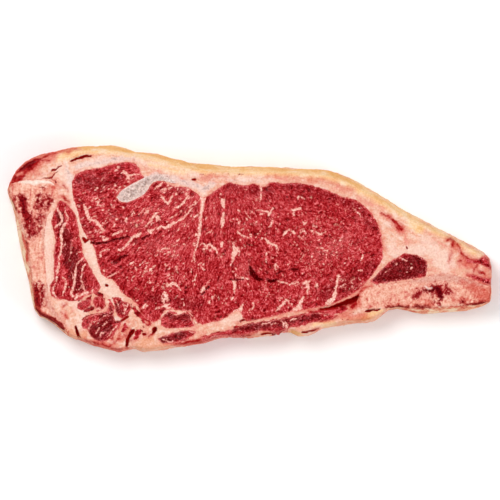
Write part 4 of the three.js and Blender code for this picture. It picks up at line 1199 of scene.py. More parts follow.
def streaks(grid, fields, outer, seed):
    """Streaks along the fibres, spread about 0: white noise averaged along each fibre's direction.

    Dividing by the root of their mean square round each point makes them as strong everywhere.
    """
    step_x, step_y, length = fibre_directions(grid, fields, outer)
    grains = grid.blur(np.random.default_rng(seed).standard_normal(grid.x.shape), STREAK_WIDTH)
    total = 0
    for share in np.linspace(-1, 1, STREAK_PLACES):
        total = total + grid.read(grains, grid.x + step_x * length * share, grid.y + step_y * length * share)
    return total / np.sqrt(grid.blur(total ** 2, STREAK_EVENING) + SMALL)


# How much narrower than its middle a fleck of fat is at its first and at its last end, in steps.
FLECK_TAPERS = (0.2, 0.3)


def fleck_strokes(seed):
    """Small flecks of fat: short strokes strewn evenly over each ellipse of FLECK_ZONES.

    The square root of an even draw, as a share of the radius, strews them evenly.
    """
    draw = np.random.default_rng(seed)
    strokes = []
    for (cx, cy), (rx, ry), count, lengths, halves, angle, turn in FLECK_ZONES:
        for _ in range(count):
            away, bearing = math.sqrt(draw.uniform()), draw.uniform(0, 2 * math.pi)
            x, y = cx + rx * away * math.cos(bearing), cy + ry * away * math.sin(bearing)
            heading = math.radians(angle + draw.uniform(-turn, turn))
            half = draw.uniform(*halves)
            reach = draw.uniform(*lengths) / 2
            dx, dy = reach * math.cos(heading), -reach * math.sin(heading)
            first, last = (half - taper for taper in FLECK_TAPERS)
            strokes.append([(x - dx, y - dy, first), (x, y, half), (x + dx, y + dy, last)])
    return strokes


# All in millimetres. A slope is how far inside a stroke a change of height begins and ends: clefts that open,
# marbling that stands up and marrow that lies low.
CLEFT_SLOPE = (-0.35, 0.7)
CLEFT_REACH = 1.0
MARBLING_SLOPE = (-0.3, 0.3)
MARBLING_RISE = 0.03
MARROW_SLOPE = (-0.1, 0.5)
MARROW_DIP = 0.45
# Where relief reaches its full height inside a tissue, and where a furrow is a third as deep beside its seam.
BORDER_FADE = 0.9
FURROW_WIDTH = 0.7
# Shares of the lumps' height: slow lumps in lean, and the ripple in fat and in bone.
LEAN_LUMPS = 0.6
FAT_RIPPLE = 0.35
BONE_RIPPLE = 0.15


def cleft_depth(x, y):
    """How deep the clefts open below the face: each falls away from its rim like a bowl."""
    depth = np.zeros(x.shape)
    for deepest, stroke in CLEFTS:
        distance = stroke_field(x, y, [stroke], CLEFT_REACH)
        depth = np.maximum(depth, deepest * smooth(-distance, *CLEFT_SLOPE))
    return depth


def relief(grid, face, sizes):
    """The height of the finished cut face, without its clefts.

    The solids' own height, plus streaks and lumps that fade out at each tissue's border, less a bell-shaped
    furrow along every seam. Marbling stands a little proud of the lean, and open marrow lies below its bone.
    """
    lean = smooth(-slot_field(face.fields, "lean"), 0, BORDER_FADE)
    bone = smooth(-slot_field(face.fields, "bone"), 0, BORDER_FADE)
    fat = smooth(slot_field(face.fields, "lean", "bone", "gristle"), 0, BORDER_FADE)
    slow = grid.noises(SLOW_LUMPS)
    ripple = grid.noises(RIPPLE)
    least, second = np.partition(face.fields, 1, axis=0)[:2]
    height = solid_height(grid)
    height += lean * (sizes.fibre_relief * face.streak + sizes.lump_relief * LEAN_LUMPS * slow)
    height += fat * (sizes.lump_relief * slow + sizes.lump_relief * FAT_RIPPLE * ripple)
    height += bone * sizes.lump_relief * BONE_RIPPLE * ripple
    height += lean * MARBLING_RISE * smooth(-face.marbling, *MARBLING_SLOPE)
    height -= bone * MARROW_DIP * smooth(-face.marrow, *MARROW_SLOPE)
    return height - sizes.seam_dip * np.exp(-((second - least) / FURROW_WIDTH) ** 2)


@functools.lru_cache(maxsize=1)
def cut_face():
    """What the pieces share: the grid, the tissues and their borders, the wall, the heights and fields."""
    settings = bpy.context.scene.chop_sizes
    sizes = types.SimpleNamespace(**{
        name: getattr(settings, name) / MM
        for name in ("grid", "edge_round", "seam_dip", "fibre_relief", "lump_relief", "wall_relief")})
    grid = Grid(sizes.grid)
    face = types.SimpleNamespace(grid=grid, sizes=sizes)
    face.fields = tissue_fields(grid)
    face.outlines = outline_fields(grid)
    face.outer = face.outlines[-1]
    face.labels = share_out(face.fields, face.outer)
    face.cells = around(face.labels)
    face.x, face.y = snapped(grid, face.fields, face.outer, face.cells)
    face.streak = streaks(grid, face.fields, face.outer, settings.seed)
    face.along, face.across = fibre_places(grid, face.fields)
    bend_x, bend_y = (grid.noises(layers) for layers in STROKE_BENDS)
    for name, (strokes, reach) in FIELDS.items():
        drawn = strokes + fleck_strokes(settings.seed) if name == "marbling" else strokes
        setattr(face, name, stroke_field(grid.x + bend_x, grid.y + bend_y, drawn, reach))
    face.unsplit = relief(grid, face, sizes)
    face.height = face.unsplit - cleft_depth(grid.x, grid.y)
    return face


# Pieces


def face_edges(inside):
    """The sides of a tissue's cells that face other cells: pairs of grid points with the tissue on the left.

    The mask inside is padded by a cell all round, so its cell [j + 1, i + 1] is the one above and right of
    point [j, i].
    """
    right, above = inside[:-1, 1:], inside[1:, :-1]
    corner = inside[1:, 1:]
    pairs = []
    for mask, start, end in (
        (corner & ~right, (0, 0), (0, 1)),
        (right & ~corner, (0, 1), (0, 0)),
        (above & ~corner, (0, 0), (1, 0)),
        (corner & ~above, (1, 0), (0, 0)),
    ):
        rows, columns = np.nonzero(mask)
        pairs.append(np.column_stack((rows + start[0], columns + start[1], rows + end[0], columns + end[1])))
    return np.vstack(pairs)


# How far below the cut face the thin outer skin begins, in millimetres.
SKIN_FROM = 1.6
# The rings of the outer wall, as shares of the way from its foot up to the cut face.
WALL_STEPS = (0.97, 0.93, 0.885, 0.83, 0.77, 0.71, 0.65, 0.59, 0.53, 0.47, 0.41, 0.35, 0.29, 0.235, 0.18,
              0.13, 0.085, 0.05, 0.025, 0.009)
# How far the wall may stand in or out of the cut face's edge, the height of its foot, and how far in from the
# edge the underside is drawn out with it, all in millimetres.
WALL_BOUNDS = (-1.5, 4.5)
FOOT_HEIGHT = 0.25
FOOT_DRAW = 4.0
# The least length of the outer edge's slope that still says which way is out.
LEAST_OUT = 0.3
# The share of the wall's lumps that bone keeps, and how far from bone, in millimetres, they reach full depth.
BONE_LUMPS = 0.12
BONE_NEAR = 2.5
# Where the surface turns by more than this, in degrees, its edge stays sharp.
SHARP_ANGLE = 62


def wall_offset(face, x, y, height):
    """How far the wall stands out from the cut face's edge at a height, and which way is out.

    The outer edge's distance at the face less that at the height is how much further out the lower edge lies.
    Between two section levels it runs evenly with height.
    """
    grid = face.grid
    top = grid.read(face.outer, x, y)
    gaps = np.stack([np.clip(top - grid.read(lower, x, y), *WALL_BOUNDS) for lower in face.outlines])
    levels = len(WALL_LEVELS)
    level = np.clip(np.interp(height, WALL_LEVELS, np.arange(levels)), 0, levels - END_MARGIN)
    k = level.astype(int)
    columns = np.arange(len(x))
    gap = gaps[k, columns] * (1 - level + k) + gaps[k + 1, columns] * (level - k)
    out_x, out_y = (grid.read(part, x, y) for part in grid.slope(face.outer))
    size = np.maximum(np.hypot(out_x, out_y), LEAST_OUT)
    return gap, out_x / size, out_y / size


def wall_rings(face, x, y, top, foot):
    """The rings of points down the outer wall, from its grid points and the heights of its top and its foot.

    They follow the solids' sections. Lumps of noise push them in and out, by the square root of a half sine
    wave down the wall, and hardly at all on bone.
    """
    grid = face.grid
    from_bone = slot_field([grid.read(field, x, y) for field in face.fields], "bone")
    softness = BONE_LUMPS + smooth(from_bone, 0, BONE_NEAR)
    rings = []
    for share in WALL_STEPS:
        z = share * top + (1 - share) * foot
        gap, out_x, out_y = wall_offset(face, x, y, z)
        lumps = noises(x, y, z, WALL_LUMPS)
        gap = gap + face.sizes.wall_relief * softness * lumps * math.sin(math.pi * share) ** 0.5
        rings.append(np.column_stack((x + out_x * gap, y + out_y * gap, z)))
    return rings


def tissue_shell(face, name):
    """One tissue as a closed shell: its points, arrays of faces, and the grid place each point belongs to.

    The upper face is the tissue's cells at the height of the cut face, with a quarter circle at the outer
    edge. The lower face is the same cells near the ground, drawn out to the wall's foot by less the further
    in they lie. Seam walls drop straight from one to the other, and outer walls pass through the rings.
    """
    grid, sizes = face.grid, face.sizes
    mine = face.labels == NAMES.index(name)
    rows, columns = np.nonzero(mine)
    used = np.zeros(grid.x.shape, bool)
    for down, right in ((0, 0), (0, 1), (1, 0), (1, 1)):
        used[rows + down, columns + right] = True
    number = np.full(used.shape, -1)
    count = used.sum()
    number[used] = np.arange(count)
    x, y = face.x[used], face.y[used]
    on_edge = (face.cells[:, used] == OUTSIDE).any(0)

    depth = np.where(on_edge, 0, np.clip(-grid.read(face.outer, x, y), 0, None))
    round_in = np.clip(sizes.edge_round - depth, 0, None)
    drop = sizes.edge_round - np.sqrt(np.maximum(sizes.edge_round ** 2 - round_in ** 2, 0))
    top = np.column_stack((x, y, grid.read(face.height, x, y) - drop))

    gap, out_x, out_y = wall_offset(face, x, y, np.zeros(count))
    push = gap * np.exp(-(depth / FOOT_DRAW) ** 2)
    rest = sum(strength * (1 + noise(x, y, 0, size, seed)) for strength, size, seed in REST_LUMPS)
    bottom = np.column_stack((x + out_x * push, y + out_y * push, np.where(on_edge, FOOT_HEIGHT, rest)))

    edge_x, edge_y = x[on_edge], y[on_edge]
    rings = wall_rings(face, edge_x, edge_y, top[on_edge, 2], bottom[on_edge, 2])
    points = np.vstack((top, bottom, *rings))
    trace_x = np.concatenate((x, x, *[edge_x] * len(rings)))
    trace_y = np.concatenate((y, y, *[edge_y] * len(rings)))
    width = len(edge_x)
    place_in_ring = np.full(count, -1)
    place_in_ring[on_edge] = np.arange(width)

    square = np.stack((number[rows, columns], number[rows, columns + 1],
                       number[rows + 1, columns + 1], number[rows + 1, columns]), axis=1)
    pairs = face_edges(np.pad(mine, 1))
    a, b = number[pairs[:, 0], pairs[:, 1]], number[pairs[:, 2], pairs[:, 3]]
    a_edge, b_edge = on_edge[a], on_edge[b]

    def column(point):
        """Rows of point numbers down the wall from points of the outer edge."""
        steps = np.arange(len(rings)) * width
        return np.column_stack((point, 2 * count + place_in_ring[point][:, None] + steps, point + count))

    plain = ~a_edge & ~b_edge
    faces = [square, square[:, ::-1] + count,
             np.column_stack((a, a + count, b + count, b))[plain]]
    both = a_edge & b_edge
    left, right = column(a[both]), column(b[both])
    faces += [np.column_stack((left[:, k], left[:, k + 1], right[:, k + 1], right[:, k]))
              for k in range(left.shape[1] - 1)]
    a_only, b_only = a_edge & ~b_edge, b_edge & ~a_edge
    faces.append(np.column_stack((column(a[a_only]), b[a_only] + count, b[a_only])))
    faces.append(np.column_stack((a[b_only], a[b_only] + count, column(b[b_only])[:, ::-1])))
    return points, faces, trace_x, trace_y


def build_mesh(name, points, faces):
    """A mesh from points in millimetres and arrays of faces, each array with its own number of corners."""
    faces = [rows for rows in faces if len(rows)]
    corners = np.concatenate([rows.ravel() for rows in faces]).astype(np.int32)
    sizes = np.concatenate([np.full(len(rows), rows.shape[1]) for rows in faces])
    mesh = bpy.data.meshes.new(name)
    mesh.vertices.add(len(points))
    mesh.vertices.foreach_set("co", (points * MM).astype(np.float32).ravel())
    mesh.loops.add(len(corners))
    mesh.loops.foreach_set("vertex_index", corners)
    mesh.polygons.add(len(sizes))
    mesh.polygons.foreach_set("loop_start", (np.cumsum(sizes) - sizes).astype(np.int32))
    mesh.update(calc_edges=True)
    mesh.validate()
    mesh.shade_smooth()
    mesh.set_sharp_from_angle(angle=math.radians(SHARP_ANGLE))
    return mesh


def dress(name, material):
    """Makes the finished piece of a tissue and sets it in the place of its solid.

    The fields are read straight above each point, at a place that noise moves by more the lower it lies. The
    value rim is the distance inside the tissue's border, below turns negative under the outer skin's upper
    edge, and sunk is the depth under the unsplit cut face.
    """
    face = cut_face()
    read = face.grid.read
    points, faces, trace_x, trace_y = tissue_shell(face, name)
    mesh = build_mesh(name, points, faces)
    z = points[:, 2]
    down = 1 - z / CAD_HIGH[2]
    x, y = (points[:, axis] + strength * down * noise(trace_x, trace_y, z, size, seed)
            for axis, (strength, size, seed) in enumerate(DRIFTS))
    rim = -face.fields[NAMES.index(name)] if name != GROUND else np.min(face.fields[:-1], axis=0)
    values = {
        "along": read(face.along, x, y) - z,
        "rim": read(rim, trace_x, trace_y),
        "below": SKIN_FROM - read(face.height, trace_x, trace_y) + z,
        "sunk": read(face.unsplit, trace_x, trace_y) - z,
    }
    for channel in CHANNELS[SLOTS[name]]:
        data = values[channel] if channel in values else read(getattr(face, channel), x, y)
        mesh.attributes.new(channel, "FLOAT", "POINT").data.foreach_set("value", data.astype(np.float32))
    mesh.materials.append(material)
    piece = bpy.data.objects.new(f"{name}_flesh" if SLOTS[name] == "lean" else f"{name}_surface", mesh)
    bpy.context.scene.collection.objects.link(piece)
    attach(piece, "root")
    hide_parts(name)


def dress_slot(slot, material):
    """Dresses every tissue of a material slot."""
    for name in NAMES:
        if SLOTS[name] == slot:
            dress(name, material)


# Materials


def add(tree, kind, sockets=None, **settings):
    """Adds a shader node. Settings are its own, and sockets gives its inputs values or others' outputs."""
    node = tree.nodes.new(kind)
    for name, value in settings.items():
        setattr(node, name, value)
    for name, value in (sockets or {}).items():
        if isinstance(value, bpy.types.NodeSocket):
            tree.links.new(value, node.inputs[name])
        else:
            node.inputs[name].default_value = value
    return node


def rgba(colour):
    """A colour with full alpha."""
    return (*colour, 1.0)


def attribute(tree, channel):
    """An attribute of the mesh as a value."""
    return add(tree, "ShaderNodeAttribute", attribute_name=channel).outputs["Fac"]


def remap(tree, value, source, target, **settings):
    """Turns a value that runs from one source bound to the other into one between the target's bounds."""
    bounds = dict(zip(("From Min", "From Max", "To Min", "To Max"), (*source, *target)))
    return add(tree, "ShaderNodeMapRange", {"Value": value, **bounds}, **settings).outputs[0]


def mix(tree, share, first, second, **settings):
    """The first colour, replaced by the second or blended with it by a share.

    The node has sockets of each kind: for colours they are inputs 6 and 7 and output 2.
    """
    sockets = {0: share, 6: first, 7: second}
    return add(tree, "ShaderNodeMix", sockets, data_type="RGBA", **settings).outputs[2]


def lay(tree, ground, layers, ripple):
    """Lays coloured zones over a ground colour and returns the result.

    A layer is a distance field, a colour or the output that gives it, its greatest strength, and three
    lengths in millimetres: the width of its soft edge, how far noise pushes that edge about, and how far
    inside the field's zero the edge lies. Its cover is an S-shaped curve of the distance plus the noise.
    """
    for channel, colour, strength, softness, push, inset in layers:
        pushed = weighted_sum(tree, [(ripple, push)], attribute(tree, channel))
        edge = (softness / 2 - inset, -softness / 2 - inset)
        cover = remap(tree, pushed, edge, (0, strength), interpolation_type="SMOOTHSTEP")
        paint = colour if isinstance(colour, bpy.types.NodeSocket) else rgba(colour)
        ground = mix(tree, cover, ground, paint)
    return ground


def ramp(tree, value, stops):
    """Turns a value into a colour: stops are places from 0 to 1 and their colours, two or more, in order."""
    node = add(tree, "ShaderNodeValToRGB", {0: value})
    elements = node.color_ramp.elements
    for index, (place, colour) in enumerate(stops):
        element = elements[index] if index < len(elements) else elements.new(place)
        element.position = place
        element.color = rgba(colour)
    return node.outputs[0]


# The stage is lit brighter than its paper floor needs, so that no grey shadow lies on it. Colours are given
# as they look in even light, and this share of them keeps them so.
COLOUR_SHARE = 0.87
# Noise about 0 stays in the full span and rarely leaves the others: the finest speckle's, and slower noise's.
FULL_SPAN = (-0.5, 0.5)
GRIT_SPAN = (-0.25, 0.25)
SLOW_SPAN = (-0.3, 0.3)
# The size of the finest speckle and the height of its bumps, in millimetres.
GRIT_SIZE = 0.95
GRIT_HEIGHT = 0.16
# What the finest speckle at full strength adds to a colour's exponent where it is darkest and lightest, and
# its
# own share of the brightness: painted shade in the dips of its bumps and painted highlight on their tops,
# over the tissue's own grain.
DARK_POWER = 1.5
LIGHT_POWER = -0.8
GRAIN_AND_SHADING_SHARE = 0.5
# Depths below the cut face between which the wet film thins out, and how far light spreads in the tissue, in
# millimetres.
FILM_DEPTHS = (0.15, 0.7)
LIGHT_SPREAD = 0.8
FILM_ROUGHNESS = 0.16
NOISE_ROUGHNESS = 0.6


def wet_surface(tree, base, bump, grit, rough, shine, grain_and_shading, depth=0.0):
    """Ends a material: a moist surface with relief from a height in millimetres.

    Shine is the weight of the clear wet film on top, which thins out on walls and in clefts. Grit is the
    finest speckle, about 0, which also raises the bumps, and another argument gives how strongly it tints the
    colour: its dark grains, in the dips of the bumps, are deeper and redder, as painted shade and as where
    light passes through more of the tissue, and its light grains, on the bumps, are paler, as painted
    highlight. Depth is how much light passes into the tissue.
    """
    # Painted shade in the speckle's dips and painted highlight on its bumps, over the tissue's own grain.
    power = remap(tree, grit, GRIT_SPAN, (1 + DARK_POWER * grain_and_shading, 1 + LIGHT_POWER * grain_and_shading))
    share = remap(tree, grit, GRIT_SPAN, (
        COLOUR_SHARE * (1 - GRAIN_AND_SHADING_SHARE * grain_and_shading), COLOUR_SHARE * (1 + GRAIN_AND_SHADING_SHARE * grain_and_shading)))
    base = add(tree, "ShaderNodeGamma", {"Color": base, "Gamma": power}).outputs[0]
    bumps = add(tree, "ShaderNodeBump", {
        "Height": weighted_sum(tree, [(grit, GRIT_HEIGHT)], bump), "Strength": 1.0, "Distance": MM})
    surface = add(tree, "ShaderNodeBsdfPrincipled", {
        "Base Color": mix(tree, 1.0, base, share, blend_type="MULTIPLY"), "Roughness": rough,
        "Subsurface Weight": depth, "Subsurface Scale": LIGHT_SPREAD * MM,
        "Coat Weight": remap(tree, attribute(tree, "sunk"), FILM_DEPTHS, (shine, 0.0)),
        "Coat Roughness": FILM_ROUGHNESS, "Specular IOR Level": 0.0, "Normal": bumps.outputs[0]})
    add(tree, "ShaderNodeOutputMaterial", {"Surface": surface.outputs[0]})


def new_material(name):
    """A material with an empty node tree, and that tree."""
    material = bpy.data.materials.new(name)
    material.use_nodes = True
    material.node_tree.nodes.clear()
    return material, material.node_tree


def noise_at(tree, place, scale, detail, distortion=0.0):
    """Noise about 0 at a place: the texture less its mean."""
    texture = add(tree, "ShaderNodeTexNoise", {
        "Vector": place, "Scale": scale, "Detail": detail, "Roughness": NOISE_ROUGHNESS,
        "Distortion": distortion})
    return add(tree, "ShaderNodeMath", {0: texture.outputs[0], 1: 0.5}, operation="SUBTRACT").outputs[0]


def centred_noise(tree, size, detail, distortion=0.0):
    """Noise about 0, with features of that size in millimetres."""
    place = add(tree, "ShaderNodeTexCoord").outputs["Object"]
    return noise_at(tree, place, 1 / (size * MM), detail, distortion)


def fibre_noise(tree, length, width, detail):
    """Noise about 0 drawn out along the fibres, with features of that length and width in millimetres."""
    parts = {}
    for axis, (channel, size) in enumerate((("along", length), ("across", width))):
        scaled = add(tree, "ShaderNodeMath", {0: attribute(tree, channel), 1: 1 / size}, operation="MULTIPLY")
        parts[axis] = scaled.outputs[0]
    return noise_at(tree, add(tree, "ShaderNodeCombineXYZ", parts).outputs[0], 1.0, detail)


def weighted_sum(tree, parts, total=0.0):
    """The sum of several values, each times its weight, on top of a first total."""
    for value, weight in parts:
        step = add(tree, "ShaderNodeMath", {0: value, 1: weight, 2: total}, operation="MULTIPLY_ADD")
        total = step.outputs[0]
    return total


def raw_lean(colours):
    """Raw lean beef, cut across its fibres: wet bundles in reds from deep to pink, with fat between them."""
    material, tree = new_material("raw_lean_beef")
    streak = attribute(tree, "streak")
    fine = centred_noise(tree, size=1.25, detail=3.0, distortion=0.6)
    mottle = centred_noise(tree, size=5.0, detail=2.0)
    broad = centred_noise(tree, size=18.0, detail=2.0)
    fibres = fibre_noise(tree, length=2.2, width=0.8, detail=2.0)
    parts = [(streak, 0.09), (fibres, 1.0), (fine, 0.5), (mottle, 0.12), (broad, 0.3)]
    tone = weighted_sum(tree, parts, total=0.5)
    base = ramp(tree, tone, [
        (0.12, colours.deep), (0.34, colours.dark), (0.53, colours.middle), (0.86, colours.light)])
    base = lay(tree, base, [
        ("shade", colours.shade, 0.55, 7.0, 8.0, 0),
        ("dried", colours.dried, 0.72, 3.0, 8.0, 0),
        ("glow", colours.light, 0.3, 7.0, 8.0, 0),
        ("below", colours.dried, 0.4, 5.0, 12.0, 1.0),
        ("below", colours.skin, 1.0, 5.0, 26.0, 5.0),
    ], mottle)
    base = lay(tree, base, [
        ("marbling", colours.film, 0.9, 0.8, 2.0, 0),
        ("marbling", colours.marbling, 0.95, 0.6, 2.0, 0.16),
        ("rim", colours.film, 0.85, 0.7, 4.4, -0.1),
        # Painted shade: splits in the lean darkened to a deep red.
        ("cleft_shade", colours.cleft_shade, 0.97, 0.8, 1.6, -0.25),
    ], fine)
    base = lay(tree, base, [("rim", colours.film, 0.85, 0.6, 6.0, 0)], fibres)
    bump = weighted_sum(tree, [(fine, 0.35), (streak, 0.05)])
    grit = weighted_sum(tree, [
        (centred_noise(tree, size=0.9, detail=2.0), 0.6),
        (fibre_noise(tree, length=1.3, width=0.6, detail=2.0), 1.0),
    ])
    rough = remap(tree, mottle, SLOW_SPAN, (0.28, 0.46))
    wet_surface(tree, base, bump, grit, rough, shine=0.06, grain_and_shading=0.5)
    return material


def raw_fat(colours, lean):
    """Raw fat: waxy cream in fine layers, honey to amber where the cap has dried, stained where blood ran."""
    material, tree = new_material("raw_beef_fat")
    streak = attribute(tree, "streak")
    fine = centred_noise(tree, size=2.4, detail=4.0, distortion=0.4)
    mottle = centred_noise(tree, size=6.0, detail=3.0)
    broad = centred_noise(tree, size=16.0, detail=2.0)
    tone = weighted_sum(tree, [(streak, 0.12), (fine, 1.3), (mottle, 0.6), (broad, 0.8)], total=0.5)
    base = ramp(tree, tone, [(0.15, colours.rose), (0.5, colours.cream), (0.9, colours.pale)])
    waxy = weighted_sum(tree, [(streak, 0.1), (mottle, 0.5), (broad, 0.9)], total=0.5)
    cap = ramp(tree, waxy, [(0.05, colours.amber), (0.42, colours.honey), (0.8, colours.butter)])
    meat = ramp(tree, tone, [(0.2, lean.deep), (0.4, lean.dark), (0.55, lean.middle), (0.9, lean.light)])
    plain = lay(tree, base, [
        ("rim", colours.rose, 0.6, 3.0, 4.0, -0.6),
        ("beige", colours.beige, 0.8, 2.6, 6.0, 0),
        ("pale", colours.pale, 0.75, 4.0, 6.0, 0),
        ("honey", cap, 0.9, 4.0, 4.0, 0),
        ("amber", colours.amber, 0.75, 2.0, 2.4, 0),
    ], mottle)
    stained = lay(tree, plain, [
        ("sinew", colours.sinew, 0.85, 2.0, 5.0, 0),
        ("blush", colours.blush, 0.7, 4.0, 8.0, 0),
        ("blood", colours.stain, 0.65, 2.6, 3.0, -0.8),
    ], mottle)
    base = lay(tree, stained, [
        ("sinew", colours.specks, 0.45, 0.8, 14.0, 2.1),
        ("scrap", meat, 1.0, 0.6, 2.6, 0),
        ("blood", colours.blood, 0.95, 1.2, 2.4, 0),
        ("blood", colours.clot, 0.9, 2.0, 5.0, 1.2),
        ("rim", colours.scrap, 0.8, 0.5, 1.7, 0),
        # Painted shade: splits in the fat darkened to a dark red, a little wider than their carved hollow.
        ("cleft_shade", colours.cleft_shade, 1.0, 0.5, 0.7, -0.42),
        ("below", stained, 1.0, 5.0, 16.0, 3.6),
    ], fine)
    bump = weighted_sum(tree, [(fine, 0.35), (streak, 0.02), (mottle, 0.4)])
    grit = centred_noise(tree, size=GRIT_SIZE, detail=2.0)
    rough = remap(tree, broad, SLOW_SPAN, (0.4, 0.52))
    wet_surface(tree, base, bump, grit, rough, shine=0.06, grain_and_shading=0.2, depth=0.05)
    return material


def sawn_bone(colours):
    """Sawn bone: a pink sponge of fine pores with red marrow, denser at its rim, smeared by the saw."""
    material, tree = new_material("sawn_beef_bone")
    streak = attribute(tree, "streak")
    fine = centred_noise(tree, size=1.9, detail=4.0, distortion=0.4)
    mottle = centred_noise(tree, size=5.0, detail=3.0)
    tone = weighted_sum(tree, [(fine, 0.8), (mottle, 0.6), (streak, 0.16)], total=0.5)
    base = ramp(tree, tone, [(0.1, colours.sponge), (0.45, colours.bone), (0.85, colours.light)])
    base = lay(tree, base, [
        ("hard_bone", colours.hard, 0.75, 2.4, 4.0, 0),
        ("blush", colours.blush, 0.75, 4.0, 6.0, 0),
    ], mottle)
    base = lay(tree, base, [
        ("sponge", colours.sponge, 0.7, 5.0, 6.0, 0),
        ("sponge", colours.pores, 0.85, 1.4, 15.0, 2.2),
        ("marrow", colours.pores, 0.8, 1.6, 8.0, -0.7),
        ("marrow", colours.marrow, 0.95, 0.8, 3.4, 0),
        ("marrow", colours.core, 0.9, 1.2, 8.0, 1.15),
        ("saw_edge", colours.blush, 0.8, 1.6, 3.0, -0.6),
        ("saw_edge", colours.saw, 0.95, 1.2, 2.8, 0),
        # Painted shade: splits in the bone darkened to the darkest marrow colour.
        ("cleft_shade", colours.core, 0.95, 1.0, 2.4, -0.2),
        ("cartilage", colours.cartilage, 0.9, 1.4, 1.6, 0),
    ], fine)
    skin = ramp(tree, tone, [(0.3, colours.blush), (0.5, colours.rind), (0.72, colours.membrane)])
    base = lay(tree, base, [
        ("beige", skin, 0.85, 1.6, 4.0, 0),
        ("below", skin, 0.85, 3.0, 6.0, 2.0),
        ("membrane", colours.membrane, 0.9, 1.6, 3.0, 0),
    ], mottle)
    bump = weighted_sum(tree, [(fine, 0.3)])
    grit = centred_noise(tree, size=GRIT_SIZE, detail=2.0)
    rough = remap(tree, mottle, SLOW_SPAN, (0.42, 0.56))
    wet_surface(tree, base, bump, grit, rough, shine=0.06, grain_and_shading=0.26)
    return material


def wet_gristle(colours):
    """Gristle: milky, half-clear and shiny, with paler streaks along it."""
    material, tree = new_material("wet_gristle")
    streak = attribute(tree, "streak")
    fine = centred_noise(tree, size=1.2, detail=3.0)
    tone = weighted_sum(tree, [(streak, 0.14), (fine, 1.2)], total=0.5)
    base = ramp(tree, tone, [
        (0.1, colours.gristle_dark), (0.45, colours.gristle), (0.8, colours.gristle_light)])
    base = lay(tree, base, [("rim", colours.gristle_light, 0.9, 1.8, 3.0, -0.9)], fine)
    bump = weighted_sum(tree, [(fine, 0.3)])
    grit = centred_noise(tree, size=GRIT_SIZE, detail=2.0)
    wet_surface(tree, base, bump, grit, rough=0.34, shine=0.12, grain_and_shading=0.4, depth=0.05)
    return material


# Stage

# Lengths in metres: half the floor's side, the lights' places and width, and how far the camera sees.
FLOOR_HALF = 3.0
KEY_PLACE = (-0.3, 0.36, 1.1)
FILL_PLACE = (0.7, -0.35, 0.8)
LIGHT_WIDTH = 0.5
CAMERA_REACH = 20
# The share of its colour that the paper's darker flecks keep, and the size of the flecks in millimetres.
PAPER_DARK = 0.985
PAPER_FLECK = 3.0
# How far up the sky goes over from its even strength to that straight overhead: the height on a unit sphere.
ZENITH_FROM = (0.8, 0.97)


def paper_floor(scene, colour):
    """A square of pale paper under the chop, with the faintest flecks."""
    corners = FLOOR_HALF * np.array([[-1, -1, 0], [1, -1, 0], [1, 1, 0], [-1, 1, 0]])
    mesh = build_mesh("floor", corners / MM, [np.array([[0, 1, 2, 3]])])
    floor = bpy.data.objects.new("floor", mesh)
    material, tree = new_material("matt_paper")
    fleck = remap(tree, centred_noise(tree, size=PAPER_FLECK, detail=2.0), FULL_SPAN, (0, 1))
    tint = mix(tree, fleck, rgba(colour), rgba([channel * PAPER_DARK for channel in colour]))
    surface = add(tree, "ShaderNodeBsdfDiffuse", {"Color": tint})
    add(tree, "ShaderNodeOutputMaterial", {"Surface": surface.outputs[0]})
    mesh.materials.append(material)
    scene.collection.objects.link(floor)


def soft_sky(scene, strength, zenith):
    """Even white light from all round, weaker straight overhead."""
    world = bpy.data.worlds.new("soft_sky")
    world.use_nodes = True
    tree = world.node_tree
    upward = add(tree, "ShaderNodeSeparateXYZ", {0: add(tree, "ShaderNodeTexCoord").outputs["Generated"]})
    background = tree.nodes["Background"]
    background.inputs["Color"].default_value = (1, 1, 1, 1)
    tree.links.new(
        remap(tree, upward.outputs["Z"], ZENITH_FROM, (strength, zenith)), background.inputs["Strength"])
    scene.world = world


def round_light(scene, name, place, power):
    """A round area light that points at the middle of the floor."""
    data = bpy.data.lights.new(name, "AREA")
    data.energy = power
    data.size = LIGHT_WIDTH
    data.shape = "DISK"
    light = bpy.data.objects.new(name, data)
    light.location = place
    light.rotation_euler = (-light.location).to_track_quat("-Z", "Y").to_euler()
    scene.collection.objects.link(light)


def overhead_camera(scene, lens):
    """A camera straight above the view's middle, at the height where its lens takes in the whole view."""
    camera = bpy.data.objects.new("camera", bpy.data.cameras.new("camera"))
    camera.data.lens = lens
    distance = VIEW_STEPS * STEP * MM * lens / camera.data.sensor_width
    camera.location = (*(traced_place(VIEW_MIDDLE) * MM), CAD_HIGH[2] * MM + distance)
    camera.data.clip_end = CAMERA_REACH
    scene.collection.objects.link(camera)
    scene.camera = camera


# Operators


class CHOP_OT_stage(bpy.types.Operator):
    """Sets up the pale floor, the soft lights and the camera that looks straight down."""
    bl_idname = "chop.stage"
    bl_label = "Floor, lights and camera"

    def execute(self, context):
        scene, settings = context.scene, context.scene.chop_stage
        paper_floor(scene, settings.floor)
        soft_sky(scene, settings.sky, settings.zenith)
        scene.view_settings.view_transform = "Standard"
        round_light(scene, "key_light", KEY_PLACE, settings.key)
        round_light(scene, "fill_light", FILL_PLACE, settings.fill)
        overhead_camera(scene, settings.lens)
        return {"FINISHED"}


class CHOP_OT_lean(bpy.types.Operator):
    """Models every muscle as raw lean with marbling."""
    bl_idname = "chop.lean"
    bl_label = "Muscles"

    def execute(self, context):
        dress_slot("lean", raw_lean(context.scene.chop_lean))
        return {"FINISHED"}


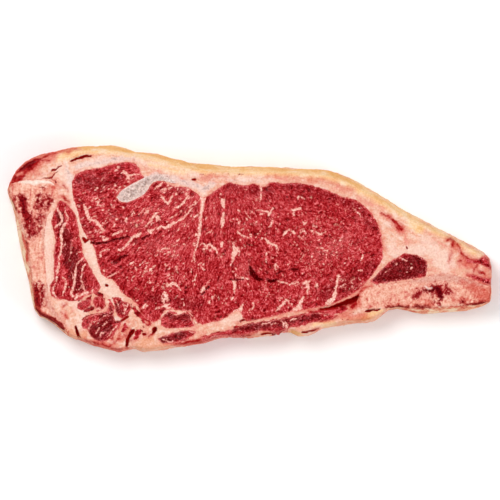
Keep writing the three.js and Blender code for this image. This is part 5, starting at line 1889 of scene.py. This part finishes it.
class CHOP_OT_fat(bpy.types.Operator):
    """Models the fat with its cap, seams and torn lower edge."""
    bl_idname = "chop.fat"
    bl_label = "Fat"

    def execute(self, context):
        dress_slot("fat", raw_fat(context.scene.chop_fat, context.scene.chop_lean))
        return {"FINISHED"}


class CHOP_OT_bones(bpy.types.Operator):
    """Models the sawn feather bone and rib."""
    bl_idname = "chop.bones"
    bl_label = "Bones"

    def execute(self, context):
        dress_slot("bone", sawn_bone(context.scene.chop_bone))
        return {"FINISHED"}


class CHOP_OT_gristle(bpy.types.Operator):
    """Models the tongue of gristle."""
    bl_idname = "chop.gristle"
    bl_label = "Gristle"

    def execute(self, context):
        dress_slot("gristle", wet_gristle(context.scene.chop_bone))
        return {"FINISHED"}


class CHOP_PT_panel(bpy.types.Panel):
    """Lists the steps that dress the chop."""
    bl_idname = "CHOP_PT_panel"
    bl_label = "Beef loin chop"
    bl_space_type = "VIEW_3D"
    bl_region_type = "UI"
    bl_category = "Chop"

    def draw(self, context):
        for operator in OPERATORS:
            self.layout.operator(operator.bl_idname)
        for group in POINTERS:
            settings = getattr(context.scene, group)
            for name in settings.__annotations__:
                self.layout.prop(settings, name)


OPERATORS = (CHOP_OT_stage, CHOP_OT_lean, CHOP_OT_fat, CHOP_OT_bones, CHOP_OT_gristle)
POINTERS = {
    "chop_sizes": ChopSizes,
    "chop_lean": LeanColours,
    "chop_fat": FatColours,
    "chop_bone": BoneColours,
    "chop_stage": StageSettings,
}


def register():
    """Registers the settings, the operators and the panel."""
    for group in (*POINTERS.values(), *OPERATORS, CHOP_PT_panel):
        bpy.utils.register_class(group)
    for name, group in POINTERS.items():
        setattr(bpy.types.Scene, name, PointerProperty(type=group))


def unregister():
    """Takes them all away again."""
    for name in POINTERS:
        delattr(bpy.types.Scene, name)
    for group in reversed((*POINTERS.values(), *OPERATORS, CHOP_PT_panel)):
        bpy.utils.unregister_class(group)


def main():
    """Dresses the chop."""
    register()
    bpy.ops.chop.stage()
    bpy.ops.chop.lean()
    bpy.ops.chop.fat()
    bpy.ops.chop.bones()
    bpy.ops.chop.gristle()


if __name__ == "__main__":
    main()
